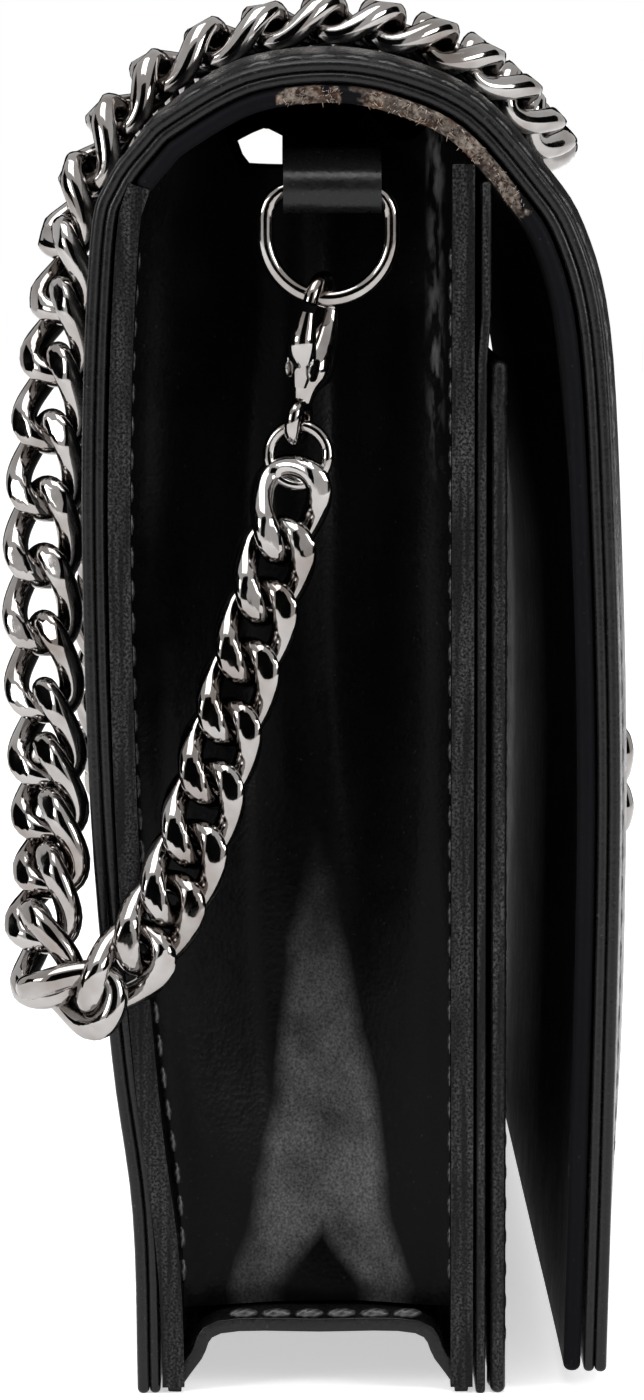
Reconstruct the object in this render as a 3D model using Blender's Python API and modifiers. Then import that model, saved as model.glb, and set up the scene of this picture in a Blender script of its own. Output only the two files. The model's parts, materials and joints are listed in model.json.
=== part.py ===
# Wallet on chain: a small box-shaped flap bag with a curb chain clipped to a ring at each end.
# Metres, +Z up. The bag stands on the table, its flap faces -Y, and "near" is the end at -X.
import math

import bmesh
import bpy
from mathutils import Matrix, Vector

# Overall sizes of the bag
bag_width = 0.225
bag_height = 0.138
bag_depth = 0.0555

# Leather, lining and the gap left between pieces that touch
skin_thickness = 0.0024
flap_lining_thickness = 0.0018
gusset_thickness = 0.0023
base_thickness = 0.0020
front_thickness = 0.0010
pocket_thickness = 0.0018
lining_thickness = 0.0006
card_thickness = 0.0008
divider_thickness = 0.0010
tab_thickness = 0.0014
seat_gap = 0.0003
smooth_angle = math.radians(40.0)
crown_height = 0.0020

# Outline of the outer skin seen from the end, as shares of bag_depth and bag_height: up the back, over the
# top and down the front. The back panel ends and the flap begins at the hinge station.
outline_shares = [
    (0.332, 0.0), (0.341, 0.136), (0.380, 0.258), (0.418, 0.444), (0.432, 0.679), (0.416, 0.862),
    (0.385, 0.910), (0.326, 0.942), (0.276, 0.960), (0.133, 0.991), (-0.027, 1.0), (-0.168, 0.991),
    (-0.301, 0.966), (-0.416, 0.915), (-0.485, 0.872), (-0.533, 0.797), (-0.555, 0.648),
    (-0.567, 0.449), (-0.557, 0.203), (-0.546, 0.016),
]
hinge_station = 6
hinge_gap = 0.0008
weld_distance = 0.0000015
least_volume = 1e-11
outline_steps = 2
round_sides = 8
disc_sides = 16
crown_power = 10
crown_column_shares = [-1.0, -0.94, -0.8, 0.0, 0.8, 0.94, 1.0]
crown_fade_share = 0.3

# Gussets, base and front
flange_width = 0.0070
gusset_top_share = 0.900
gusset_dip_share = 0.886
fold_depth_top = 0.0150
fold_depth_bottom = 0.0040
fold_shares = [(0.12, 0.25), (0.34, 0.86), (0.5, 1.0), (0.66, 0.86), (0.88, 0.25)]
gusset_rows = 8
base_height = 0.0058
base_slant_width = 0.0042
base_slant_foot = 0.0014
front_face_y = -0.0177
front_step_share = 0.775
front_step_out = 0.0012
front_step_height = 0.0050
front_top_share = 0.893
pocket_top_share = 0.777

# Inside: lining, zip pocket, card slots, snap
lining_top_share = 0.885
divider_half_width = 0.0860
divider_gap = 0.0022
divider_top_share = 0.902
divider_foot = 0.0012
zip_tape_width = 0.0027
zip_tape_thickness = 0.0004
zip_bead_radius = 0.0005
zip_end_inset = 0.0050
slider_length = 0.0090
slider_width = 0.0044
slider_wall = 0.0006
slider_start_inset = 0.0060
pull_length = 0.0180
pull_width = 0.0036
pull_thickness = 0.0008
card_half_width = 0.0900
card_foot = 0.0300
card_top_shares = [0.72, 0.63, 0.54]
snap_radius = 0.0060
snap_height = 0.0013
snap_socket_hollow = 0.0022
snap_level_share = 0.33

# Ornament on the flap
ornament_level_share = 0.33
ornament_length = 0.0280
ornament_bar_radius = 0.0013
ornament_boss_radius = 0.0027
ornament_swell_shares = [(0.0, 0.1), (0.04, 0.4), (0.09, 0.5), (0.15, 0.3), (0.22, 0.0),
                         (0.52, 0.0), (0.58, 0.65), (0.66, 1.0), (0.73, 0.7), (0.77, 0.35),
                         (0.81, 0.65), (0.89, 0.9), (0.96, 0.65), (1.0, 0.2)]

# D-ring, tab, clasp and jump ring
ring_width = 0.0146
ring_height = 0.0129
ring_wire = 0.0016
ring_corner = 0.0011
ring_middle_y = -0.0014
ring_bar_share = 0.905
ring_inset = 0.0032
bow_steps = 10
corner_steps = 2
tab_width = 0.0101
tab_middle_y = -0.0018
tab_rise = 0.0046
tab_tail = 0.0180
tab_bend_radius = 0.0035
tab_wrap_start = math.radians(60.0)
tab_bend_steps = 3
tab_wrap_steps = 7
clasp_lean = math.radians(10.0)
clasp_turn = math.radians(20.0)
hook_radius = 0.0030
hook_wire = 0.0020
clasp_reach = 0.0118
clasp_base_radius = 0.0019
clasp_base_wire = 0.0016
clasp_body_radius = 0.0019
ear_thickness = 0.0006
lever_radius = 0.0008
lever_pivot_shares = (0.72, -2.1)
# Claw and lever by hook radius: how far out and up from the hook's middle, then the share of the full radius
claw_shares = [(0.0, -3.25, 0.45), (0.0, -2.8, 0.60), (-0.13, -2.35, 0.92),
               (-0.40, -1.95, 1.0), (-0.75, -1.3, 0.90), (-0.97, -0.6, 0.72)]
lever_shares = [(0.72, -2.35, 0.8), (0.74, -1.85, 1.0), (1.28, -1.35, 0.95),
                (1.10, -0.85, 0.9), (1.03, -0.22, 0.8)]
hook_end = math.radians(8.0)
hook_root_share = 1.2
hook_tip_share = 0.75
hook_steps = 8
ear_root_share = -0.30
ear_reach_share = 2.6
pin_radius = 0.0004
pin_clearance = 0.00015
jump_ring_radius = 0.0031
jump_ring_wire = 0.0012
jump_ring_turn = math.radians(-28.0)
base_ring_steps = 10
jump_ring_steps = 16
wire_sides = 6

# Curb chain
chain_wire = 0.0024
chain_half_length = 0.00465
chain_half_width = 0.00285
chain_twist_height = 0.0015
chain_thickness = 0.0047
chain_pitch = 0.0065
run_pitch = 0.0067
run_keep_share = 0.92
fused_pitch = 0.0071
open_pitch = 0.00575
link_segments = 12
link_sides = 5
hanging_links = 7
corner_links = 6
bend_links = 5
bend_shift = 0.0035

# Stations of the chain, mirrored for the far end. Hanging: shares of half the width, the depth and the
# height, then the turn of the face about Z in degrees, which starts at first_link_turn in the jump ring
first_link_turn = 10
first_hang_shares = (0.2, 0.4, -2.0)
hanging_stations_shares = [
    (-0.991, 0.108, 0.580, 7), (-1.008, 0.175, 0.490, 3), (-1.030, 0.245, 0.398, 0),
    (-1.042, 0.320, 0.344, 0), (-1.048, 0.389, 0.314, 0), (-1.042, 0.458, 0.308, 0),
    (-1.020, 0.503, 0.333, 0), (-0.998, 0.501, 0.372, 0),
]
# On the back: share of half the width, share of the height, turn of the face from flat in degrees
back_stations_shares = [(-0.975, 0.413, 90), (-0.950, 0.460, 88), (-0.920, 0.550, 78), (-0.900, 0.625, 58),
                        (-0.880, 0.705, 36), (-0.862, 0.780, 16), (-0.840, 0.840, 5), (-0.820, 0.885, 0)]
# On the flap, from the near to the far end: share of half the width, share along the flap outline
top_stations_shares = [(-0.800, 0.035), (-0.775, 0.115), (-0.745, 0.200), (-0.710, 0.290), (-0.670, 0.375),
                       (-0.615, 0.450), (-0.545, 0.502), (-0.450, 0.526), (-0.335, 0.514), (-0.205, 0.466),
                       (-0.050, 0.392), (0.100, 0.325), (0.250, 0.268), (0.400, 0.218), (0.535, 0.172),
                       (0.650, 0.125), (0.735, 0.078), (0.790, 0.030)]
route_steps = 12

half_width = bag_width / 2
parts = bpy.data.collections.new("wallet_on_chain")


def clear_scene():
    """Empties the scene and adds the collection of the wallet's pieces."""
    for old in list(bpy.data.objects):
        bpy.data.objects.remove(old)
    bpy.context.scene.collection.children.link(parts)


def make_material(name, colour, roughness, metallic=0.0):
    """A plain Principled material."""
    material = bpy.data.materials.new(name)
    material.use_nodes = True
    shader = material.node_tree.nodes["Principled BSDF"]
    shader.inputs["Base Color"].default_value = (*colour, 1.0)
    shader.inputs["Roughness"].default_value = roughness
    shader.inputs["Metallic"].default_value = metallic
    return material


leather = make_material("black_leather", (0.012, 0.012, 0.013), 0.35)
inner_leather = make_material("navy_lining_leather", (0.014, 0.015, 0.022), 0.6)
textile = make_material("lining_textile", (0.02, 0.02, 0.02), 0.9)
metal = make_material("gunmetal", (0.32, 0.30, 0.29), 0.15, 1.0)


def add_mesh(name, mesh, material):
    """A new object of a mesh, among the wallet's pieces."""
    mesh.name = name
    thing = bpy.data.objects.new(name, mesh)
    thing.data.materials.append(material)
    parts.objects.link(thing)
    return thing


def mesh_from(shape):
    """Turns a bmesh into a mesh with its faces pointing outwards."""
    bmesh.ops.recalc_face_normals(shape, faces=shape.faces)
    mesh = bpy.data.meshes.new("shape")
    shape.to_mesh(mesh)
    shape.free()
    return mesh


def apply_modifiers(thing):
    """Keeps the evaluated shape as a plain mesh."""
    bpy.context.view_layer.update()
    evaluated = thing.evaluated_get(bpy.context.evaluated_depsgraph_get())
    mesh = bpy.data.meshes.new_from_object(evaluated)
    thing.modifiers.clear()
    thing.data = mesh
    return thing


def join_with(thing, other, operation, solver="EXACT"):
    """Boolean of two closed objects; the second one is used up."""
    cut = thing.modifiers.new("join", "BOOLEAN")
    cut.operation = operation
    cut.solver = solver
    cut.object = other
    apply_modifiers(thing)
    bpy.data.objects.remove(other)
    return drop_slivers(thing)


def shell_around(face, waiting):
    """The faces joined to one face across plain edges, taken out of those that wait."""
    shell, edge = {face}, [face]
    while edge:
        for side in edge.pop().edges:
            for other in side.link_faces:
                if len(side.link_faces) == 2 and other in waiting:
                    waiting.remove(other)
                    shell.add(other)
                    edge.append(other)
    return shell


def six_volumes(shell):
    """Six times the volume inside a shell, less than nothing for a sealed hollow."""
    total = 0.0
    for face in shell:
        a = face.verts[0].co
        for b, c in zip(face.verts[1:], face.verts[2:]):
            total += a.dot(b.co.cross(c.co))
    return total


def drop_slivers(thing):
    """Welds the tiny edges that a Boolean leaves, and drops sealed hollows and empty shells."""
    shape = bmesh.new()
    shape.from_mesh(thing.data)
    bmesh.ops.remove_doubles(shape, verts=shape.verts, dist=weld_distance)
    bmesh.ops.dissolve_degenerate(shape, edges=shape.edges, dist=weld_distance)
    bmesh.ops.triangulate(shape, faces=shape.faces)
    corners = {}
    for face in shape.faces:
        corners.setdefault(frozenset(face.verts), []).append(face)
    doubled = [face for same in corners.values() if len(same) > 1 for face in same]
    bmesh.ops.delete(shape, geom=doubled, context="FACES")
    waiting = set(shape.faces)
    while waiting:
        shell = shell_around(waiting.pop(), waiting)
        if six_volumes(shell) < least_volume * 6:
            bmesh.ops.delete(shape, geom=list(shell), context="FACES")
            waiting = {face for face in waiting if face.is_valid}
    shape.to_mesh(thing.data)
    shape.free()
    return thing


def smooth_path(points, steps):
    """Catmull-Rom curve through points of any dimension."""
    ends = [points[0] * 2 - points[1]] + points + [points[-1] * 2 - points[-2]]
    path = []
    for a, b, c, d in zip(ends, ends[1:], ends[2:], ends[3:]):
        for step in range(steps):
            t = step / steps
            square = (a * 2 - b * 5 + c * 4 - d) * t * t
            cube = (b * 3 - a - c * 3 + d) * t * t * t
            path.append((b * 2 + (c - a) * t + square + cube) / 2)
    return path + [points[-1]]


def outline(shares):
    """An end-view line of (y, z) in metres from shares of the depth and the height."""
    return smooth_path([Vector((y * bag_depth, z * bag_height)) for y, z in shares], outline_steps)


def inset_line(path, normals, depth):
    """A line that runs at a depth behind an outline."""
    return [point - normal * depth for point, normal in zip(path, normals)]


def outline_normals(path):
    """Outward normals of an outline that runs up the back and down the front."""
    normals = []
    for i in range(len(path)):
        along = path[min(i + 1, len(path) - 1)] - path[max(i - 1, 0)]
        normals.append(Vector((along.y, -along.x)).normalized())
    return normals


whole_outline = outline(outline_shares)
whole_normals = outline_normals(whole_outline)
hinge_index = hinge_station * outline_steps
back_outline = whole_outline[:hinge_index + 1]
back_normals = whole_normals[:hinge_index + 1]
flap_outline = whole_outline[hinge_index:]
flap_normals = whole_normals[hinge_index:]


def eased(share):
    """A share from 0 to 1 that starts and ends softly."""
    share = min(1.0, max(0.0, share))
    return share * share * (3 - 2 * share)


def crown(x_share, point):
    """How far the padded skin stands proud of its edge: nothing on the back, full over the top."""
    if point.x > 0:
        foot = outline_shares[hinge_station][1]
        fade = eased((point.y / bag_height - foot) / (1 - foot))
    else:
        fade = eased(point.y / bag_height / crown_fade_share)
    return crown_height * (1 - abs(x_share) ** crown_power) * fade


def skin_sheet(name, path, normals, inset, thickness, material):
    """A crowned sheet that follows an outline, its outer face inset from the outer skin."""
    shape = bmesh.new()
    rows = []
    for point, normal in zip(path, normals):
        row = []
        for share in crown_column_shares:
            place = point + normal * (crown(share, point) - inset)
            row.append(shape.verts.new((share * half_width, place.x, place.y)))
        rows.append(row)
    fill_grid(shape, rows)
    thing = add_mesh(name, mesh_from_open(shape, Vector((0, 1, 0))), material)
    return thicken(thing, thickness, 1.0)


def drawn_back(path, gap):
    """An outline whose first point is drawn back along it by a gap."""
    first = path[0] + (path[1] - path[0]).normalized() * gap
    return [first] + path[1:]


def fill_grid(shape, rows):
    """Faces between rows of points of the same count."""
    for low, high in zip(rows, rows[1:]):
        for a, b, c, d in zip(low, low[1:], high[1:], high):
            shape.faces.new((a, b, c, d))


def mesh_from_open(shape, first_normal):
    """An open sheet whose first face looks along first_normal."""
    bmesh.ops.recalc_face_normals(shape, faces=shape.faces)
    shape.faces.ensure_lookup_table()
    if shape.faces[0].normal.dot(first_normal) < 0:
        bmesh.ops.reverse_faces(shape, faces=shape.faces)
    mesh = bpy.data.meshes.new("sheet")
    shape.to_mesh(mesh)
    shape.free()
    return mesh


def thicken(thing, thickness, side):
    """Solidify: side 1 puts the thickness behind the face, 0 on both sides."""
    shell = thing.modifiers.new("thickness", "SOLIDIFY")
    shell.thickness = thickness
    shell.offset = -side
    shell.use_even_offset = True
    return thing


def level_path(path, low, high):
    """The part of an outline between two levels, with its ends cut to them."""
    inside = [p for p in path if low < p.y < high]
    return [at_level(path, low)] + inside + [at_level(path, high)]


def at_level(path, level):
    """The point of a rising line at a level."""
    for a, b in zip(path, path[1:]):
        if a.y <= level <= b.y:
            return a.lerp(b, (level - a.y) / (b.y - a.y))
    return path[-1] if level > path[-1].y else path[0]


def strip(name, path, width, thickness, material, side=0.0):
    """A flat-sided strip: an end-view path of (y, z) drawn out along X."""
    shape = bmesh.new()
    rows = []
    for point in path:
        rows.append([shape.verts.new((edge * width / 2, point.x, point.y)) for edge in (-1, 1)])
    fill_grid(shape, rows)
    along = path[1] - path[0]
    thing = add_mesh(name, mesh_from_open(shape, Vector((0, along.y, -along.x))), material)
    return thicken(thing, thickness, side)


def box(name, low, high, material):
    """A box from its lowest to its highest corner."""
    shape = bmesh.new()
    bmesh.ops.create_cube(shape, size=1.0)
    size, middle = high - low, (high + low) / 2
    place = Matrix.Translation(middle) @ Matrix.Diagonal((*size, 1))
    bmesh.ops.transform(shape, matrix=place, verts=shape.verts)
    return add_mesh(name, mesh_from(shape), material)


def tube(name, points, radii, material, sides=round_sides, closed=False):
    """A round tube along points, as a poly curve made into a mesh."""
    curve = bpy.data.curves.new(name, "CURVE")
    curve.dimensions = "3D"
    curve.bevel_depth = 1.0
    curve.bevel_resolution = sides // 2 - 2
    curve.use_fill_caps = not closed
    spline = curve.splines.new("POLY")
    spline.points.add(len(points) - 1)
    spline.use_cyclic_u = closed
    for i, point in enumerate(points):
        spline.points[i].co = (*point, 1.0)
        spline.points[i].radius = radii[i] if isinstance(radii, list) else radii
    holder = bpy.data.objects.new(name, curve)
    parts.objects.link(holder)
    bpy.context.view_layer.update()
    evaluated = holder.evaluated_get(bpy.context.evaluated_depsgraph_get())
    mesh = bpy.data.meshes.new_from_object(evaluated)
    shape = bmesh.new()
    shape.from_mesh(mesh)
    bmesh.ops.transform(shape, matrix=holder.matrix_world, verts=shape.verts)
    bmesh.ops.remove_doubles(shape, verts=shape.verts, dist=weld_distance)
    bpy.data.objects.remove(holder)
    return add_mesh(name, mesh_from(shape), material)


def round_rod(name, start, end, radius, material, sides=round_sides):
    """A cylinder between two points."""
    shape = bmesh.new()
    along = end - start
    bmesh.ops.create_cone(shape, cap_ends=True, segments=sides, radius1=radius, radius2=radius,
                          depth=along.length)
    turn = along.to_track_quat("Z", "Y").to_matrix().to_4x4()
    bmesh.ops.transform(shape, matrix=Matrix.Translation((start + end) / 2) @ turn, verts=shape.verts)
    return add_mesh(name, mesh_from(shape), material)


def arc(centre, radius, start, end, steps):
    """Points of a circular arc in a plane, as 2D vectors."""
    angles = [start + (end - start) * i / steps for i in range(steps + 1)]
    return [centre + Vector((math.cos(a), math.sin(a))) * radius for a in angles]


def circle(radius, steps):
    """Points of a whole circle about nothing, each once."""
    return arc(Vector((0, 0)), radius, 0, 2 * math.pi, steps)[:-1]


# Leather shell

behind_skin = skin_thickness + seat_gap
back_flange_line = inset_line(back_outline, back_normals, behind_skin + gusset_thickness / 2)
back_lining_line = inset_line(back_outline, back_normals, behind_skin + lining_thickness / 2)


def flange_y(level):
    """Middle of the gusset's back flange at a level."""
    return at_level(back_flange_line, level).x


front_flange_y = front_face_y + front_thickness + seat_gap + gusset_thickness / 2
gusset_foot = base_height + base_thickness + seat_gap


def make_gusset(name, side):
    """One folded end wall with its two turned-out flanges; side is -1 near, 1 far."""
    edge = side * half_width
    shape = bmesh.new()
    rows = []
    for i in range(gusset_rows + 1):
        share = i / gusset_rows
        depth = fold_depth_bottom + (fold_depth_top - fold_depth_bottom) * share
        row = []
        columns = [(0.0, None), (0.0, 0.0)] + fold_shares + [(1.0, 0.0), (1.0, None)]
        for across, inward in columns:
            dip = math.sin(math.pi * across) * (gusset_top_share - gusset_dip_share)
            top = (gusset_top_share - dip) * bag_height
            level = gusset_foot + share * (top - gusset_foot)
            back = flange_y(level)
            x = edge if inward is None else edge - side * (flange_width + inward * depth)
            row.append(shape.verts.new((x, back + across * (front_flange_y - back), level)))
        rows.append(row)
    fill_grid(shape, rows)
    thing = add_mesh(name, mesh_from_open(shape, Vector((0, -1, 0))), leather)
    return thicken(thing, gusset_thickness, 0.0)


def make_base():
    """Raised bottom whose flanges reach down to the table between the panels."""
    middle = base_height + base_thickness / 2
    back, front = flange_y(0.0), front_flange_y
    corners = [(back, 0.0), (back, base_slant_foot), (back - base_slant_width, middle),
               (front + base_slant_width, middle), (front, base_slant_foot), (front, 0.0)]
    path = [Vector(corner) for corner in corners]
    return strip("base_panel", path, bag_width, base_thickness, leather)


def front_outer(level):
    """Outer face of the front panel, which steps out above the pocket's mouth."""
    rise = (level - front_step_share * bag_height) / front_step_height
    return front_face_y - front_step_out * min(1.0, max(0.0, rise))


def make_front():
    """Thin front panel and the slip pocket in front of it."""
    step = front_step_share * bag_height
    levels = [0.0, step, step + front_step_height, front_top_share * bag_height]
    path = [Vector((front_outer(level), level)) for level in levels]
    strip("front_panel", path, bag_width, front_thickness, leather, -1.0)
    pocket_y = front_face_y - seat_gap - pocket_thickness
    path = [Vector((pocket_y, 0.0)), Vector((pocket_y, pocket_top_share * bag_height))]
    strip("front_pocket", path, bag_width, pocket_thickness, leather, -1.0)


def make_lining():
    """Textile U inside the bag, between the gussets' folds."""
    floor = gusset_foot + lining_thickness / 2
    top = lining_top_share * bag_height
    back = list(reversed(level_path(back_lining_line, floor, top)))
    front = front_face_y + front_thickness + seat_gap + lining_thickness / 2
    path = back + [Vector((front, floor)), Vector((front, top))]
    reach = half_width - flange_width - fold_depth_bottom - gusset_thickness / 2 - seat_gap
    return strip("lining", path, reach * 2, lining_thickness, textile)


def make_cards():
    """Three stepped card slots against the back lining, the tallest at the back."""
    for order, name in enumerate(["card_slot_top", "card_slot_mid", "card_slot_low"]):
        off = behind_skin + lining_thickness + seat_gap + (card_thickness + seat_gap) * order
        line = inset_line(back_outline, back_normals, off + card_thickness / 2)
        path = level_path(line, card_foot, card_top_shares[order] * bag_height)
        strip(name, path, card_half_width * 2, card_thickness, inner_leather)


divider_y = (flange_y(divider_top_share * bag_height) + front_flange_y) / 2
divider_top = divider_top_share * bag_height


def make_divider():
    """Zip pocket: two walls, two zip tapes with their beads, the slider and its pull."""
    foot = gusset_foot + lining_thickness + seat_gap + divider_foot
    for name, side in (("divider_back_wall", 1), ("divider_front_wall", -1)):
        inner = divider_y + side * divider_gap / 2
        outer = inner + side * divider_thickness
        low = Vector((-divider_half_width, min(inner, outer), foot))
        high = Vector((divider_half_width, max(inner, outer), divider_top))
        box(name, low, high, inner_leather)
    tape_low = divider_top + seat_gap
    reach = divider_half_width - zip_end_inset
    for name, side in (("zip_tape_back", 1), ("zip_tape_front", -1)):
        inner = divider_y + side * seat_gap / 2
        outer = inner + side * zip_tape_width
        low = Vector((-reach, min(inner, outer), tape_low))
        high = Vector((reach, max(inner, outer), tape_low + zip_tape_thickness))
        tape = box(name, low, high, textile)
        outer = inner + side * zip_bead_radius * 2
        low = Vector((-reach, min(inner, outer), tape_low + seat_gap / 2))
        high = Vector((reach, max(inner, outer), tape_low + zip_tape_thickness + zip_bead_radius))
        join_with(tape, box("bead", low, high, textile), "UNION")


def make_slider():
    """Inverted channel that straddles the zip's beads, and the pull on its bail."""
    bottom = divider_top + seat_gap * 2 + zip_tape_thickness
    start = -divider_half_width + zip_end_inset + slider_start_inset
    bead_top = divider_top + seat_gap + zip_tape_thickness + zip_bead_radius
    roof = bead_top + seat_gap
    low = Vector((start, divider_y - slider_width / 2, bottom))
    high = Vector((start + slider_length, divider_y + slider_width / 2, roof + slider_wall))
    slider = box("zip_slider", low, high, metal)
    low += Vector((-slider_wall, slider_wall, -slider_wall))
    high += Vector((slider_wall, -slider_wall, -slider_wall))
    join_with(slider, box("slot", low, high, metal), "DIFFERENCE")
    pull_foot = bottom + zip_bead_radius + seat_gap * 2
    low = Vector((start + slider_length + seat_gap, divider_y - pull_width / 2, pull_foot))
    box("zip_pull", low, low + Vector((pull_length, pull_width, pull_thickness)), metal)


def disc(name, centre, radius, height, material, sides=disc_sides):
    """A disc whose axis is Y, from its back face towards -Y."""
    return round_rod(name, centre, centre - Vector((0, height, 0)), radius, material, sides)


def flap_front_y(level):
    """Outer face of the flap's middle at a level of its front."""
    edge = at_level([p for p in reversed(flap_outline) if p.x < 0], level)
    return edge.x - crown(0.0, edge)


def make_snap():
    """Stud on the pocket, with its post, and the hollow socket on the flap's inner side."""
    level = snap_level_share * bag_height
    seat = front_face_y - seat_gap * 2 - pocket_thickness
    stud = disc("snap_stud", Vector((0, seat, level)), snap_radius, snap_height / 2, metal)
    foot = Vector((0, seat - snap_height / 4, level))
    post = disc("post", foot, snap_socket_hollow - seat_gap, snap_height, metal, round_sides)
    join_with(stud, post, "UNION")
    inner = flap_front_y(level) + behind_skin + flap_lining_thickness + seat_gap + snap_height
    socket = disc("snap_socket", Vector((0, inner, level)), snap_radius, snap_height, metal)
    start = Vector((0, inner + snap_height, level))
    hollow = disc("hollow", start, snap_socket_hollow, snap_height * 3 / 2, metal, round_sides)
    join_with(socket, hollow, "DIFFERENCE")


def make_ornament():
    """Plain upright bar with a round boss at each end, standing on the flap."""
    foot = ornament_level_share * bag_height - ornament_length / 2
    points, radii = [], []
    for share, swell in ornament_swell_shares:
        level = foot + share * ornament_length
        points.append(Vector((0, flap_front_y(level) - seat_gap - ornament_boss_radius, level)))
        radii.append(ornament_bar_radius + swell * (ornament_boss_radius - ornament_bar_radius))
    return tube("flap_ornament", points, radii, metal)


# Hardware

def ring_x(side):
    """Where a D-ring hangs: side is -1 near, 1 far."""
    return side * (half_width - ring_inset)


ring_bar = ring_bar_share * bag_height


def make_ring(name, side):
    """D-ring: straight bar on top, half-round below, closed."""
    reach = ring_width / 2 - ring_wire / 2
    drop = ring_height - ring_wire
    middle = Vector((ring_middle_y, ring_bar - drop + reach))
    flat = arc(middle, reach, math.pi, 2 * math.pi, bow_steps)
    for hand, start in ((1, 0), (-1, math.pi / 2)):
        corner = Vector((ring_middle_y + hand * (reach - ring_corner), ring_bar - ring_corner))
        flat += arc(corner, ring_corner, start, start + math.pi / 2, corner_steps)
    points = [Vector((ring_x(side), p.x, p.y)) for p in flat]
    return tube(name, points, ring_wire / 2, metal, closed=True)


def make_tab(name, side):
    """Leather strip: from inside the bag, over the gusset, round the ring's bar and back."""
    wrap = ring_wire / 2 + seat_gap + tab_thickness / 2
    bar = Vector((half_width - ring_inset, ring_bar))
    crest = ring_bar + tab_rise
    tail_x = divider_half_width + seat_gap * 2 + tab_thickness / 2
    bend = Vector((tail_x + tab_bend_radius, crest - tab_bend_radius))
    path = [Vector((tail_x, crest - tab_tail))]
    path += arc(bend, tab_bend_radius, math.pi, math.pi / 2, tab_bend_steps)
    path.append(Vector((bar.x - tab_bend_radius * 2, crest - wrap)))
    path += arc(bar, wrap, tab_wrap_start, -math.pi, tab_wrap_steps)
    path.append(Vector((bar.x - tab_bend_radius, ring_bar - seat_gap)))
    shape = bmesh.new()
    rows = []
    for point in path:
        row = [Vector((side * point.x, tab_middle_y + edge * tab_width / 2, point.y)) for edge in (-1, 1)]
        rows.append([shape.verts.new(corner) for corner in row])
    fill_grid(shape, rows)
    thing = add_mesh(name, mesh_from_open(shape, Vector((-side, 0, 0))), leather)
    return thicken(thing, tab_thickness, 0.0)


class Clasp:
    """Lobster clasp frame: its hook's middle, and its side, up and thickness directions."""

    def __init__(self, side):
        self.side = side
        wire = Vector((ring_x(side), ring_middle_y + ring_wire / 2, ring_bar - ring_height + ring_wire))
        self.up = Vector((0, -math.sin(clasp_lean), math.cos(clasp_lean)))
        out = Vector((side, 0, 0))
        out.rotate(Matrix.Rotation(-clasp_turn, 3, self.up))
        self.out = out.normalized()
        self.thick = self.up.cross(self.out).normalized()
        slack = hook_radius - hook_wire / 2 - ring_wire / 2 - seat_gap / 2
        self.ring_wire = wire
        self.middle = wire - self.up * slack

    def at(self, out, up, thick=0.0):
        """A point in the clasp's own directions."""
        return self.middle + self.out * out + self.up * up + self.thick * thick

    def pivot(self):
        """Middle of the lever's pin."""
        return self.at(*(share * hook_radius for share in lever_pivot_shares))

    def base(self):
        """Middle of the base ring."""
        return self.at(0, -clasp_reach)

    def jump_ring(self):
        """Middle of the jump ring, which hangs from the base ring."""
        play = clasp_base_radius - clasp_base_wire / 2 - jump_ring_wire / 2 - seat_gap / 3
        return self.base() - self.up * play - Vector((0, 0, jump_ring_radius))


def through_pivot(name, clasp, half_length, radius):
    """A rod along the lever's pivot, as long each way as half_length."""
    along = clasp.thick * half_length
    return round_rod(name, clasp.pivot() - along, clasp.pivot() + along, radius, metal)


def clasp_path_points(clasp):
    """Backbone of the claw with its radii, from the base ring up and round the hook."""
    points = [clasp.at(out * hook_radius, up * hook_radius) for out, up, _ in claw_shares]
    radii = [share * clasp_body_radius for _, _, share in claw_shares]
    bow = arc(Vector((0, 0)), hook_radius, math.pi, hook_end, hook_steps)
    for i, point in enumerate(bow):
        points.append(clasp.at(point.x, point.y))
        taper = hook_root_share + (hook_tip_share - hook_root_share) * i / hook_steps
        radii.append(hook_wire / 2 * taper)
    return points, radii


def make_clasp(prefix, side):
    """Claw with its base ring, ears, pin and lever, and the jump ring below it."""
    clasp = Clasp(side)
    points, radii = clasp_path_points(clasp)
    body = tube(prefix + "_clasp", points, radii, metal)
    loop = [clasp.at(p.x, p.y - clasp_reach) for p in circle(clasp_base_radius, base_ring_steps)]
    join_with(body, tube("loop", loop, clasp_base_wire / 2, metal, wire_sides, True), "UNION")
    ear_in = lever_radius + pin_clearance
    ear_out = ear_in + ear_thickness
    for face in (-1, 1):
        join_with(body, ear_plate(clasp, face * ear_in, face * ear_out), "UNION")
    hole = through_pivot("hole", clasp, clasp_body_radius * 2, pin_radius + pin_clearance)
    join_with(body, hole, "DIFFERENCE")
    through_pivot(prefix + "_clasp_pin", clasp, ear_out + pin_radius, pin_radius)
    make_lever(prefix, clasp)
    turn = Matrix.Rotation(jump_ring_turn, 3, "Z")
    bow = circle(jump_ring_radius, jump_ring_steps)
    loop = [clasp.jump_ring() + turn @ Vector((0, p.x, p.y)) for p in bow]
    tube(prefix + "_jump_ring", loop, jump_ring_wire / 2, metal, wire_sides, True)
    return clasp


def ear_plate(clasp, inner, outer):
    """One of the two plates that hold the lever's pin."""
    shape = bmesh.new()
    reach = pin_radius * ear_reach_share
    pivot_out, pivot_up = (share * hook_radius for share in lever_pivot_shares)
    root = ear_root_share * hook_radius
    corners = [(root, pivot_up - reach), (pivot_out + reach, pivot_up - reach),
               (pivot_out + reach, pivot_up + reach), (root, pivot_up + reach)]
    rings = [[shape.verts.new(clasp.at(u, v, w)) for u, v in corners] for w in (inner, outer)]
    for i in range(len(corners)):
        j = (i + 1) % len(corners)
        shape.faces.new((rings[0][i], rings[0][j], rings[1][j], rings[1][i]))
    shape.faces.new(rings[0])
    shape.faces.new(rings[1])
    return add_mesh("ear", mesh_from(shape), metal)


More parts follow.
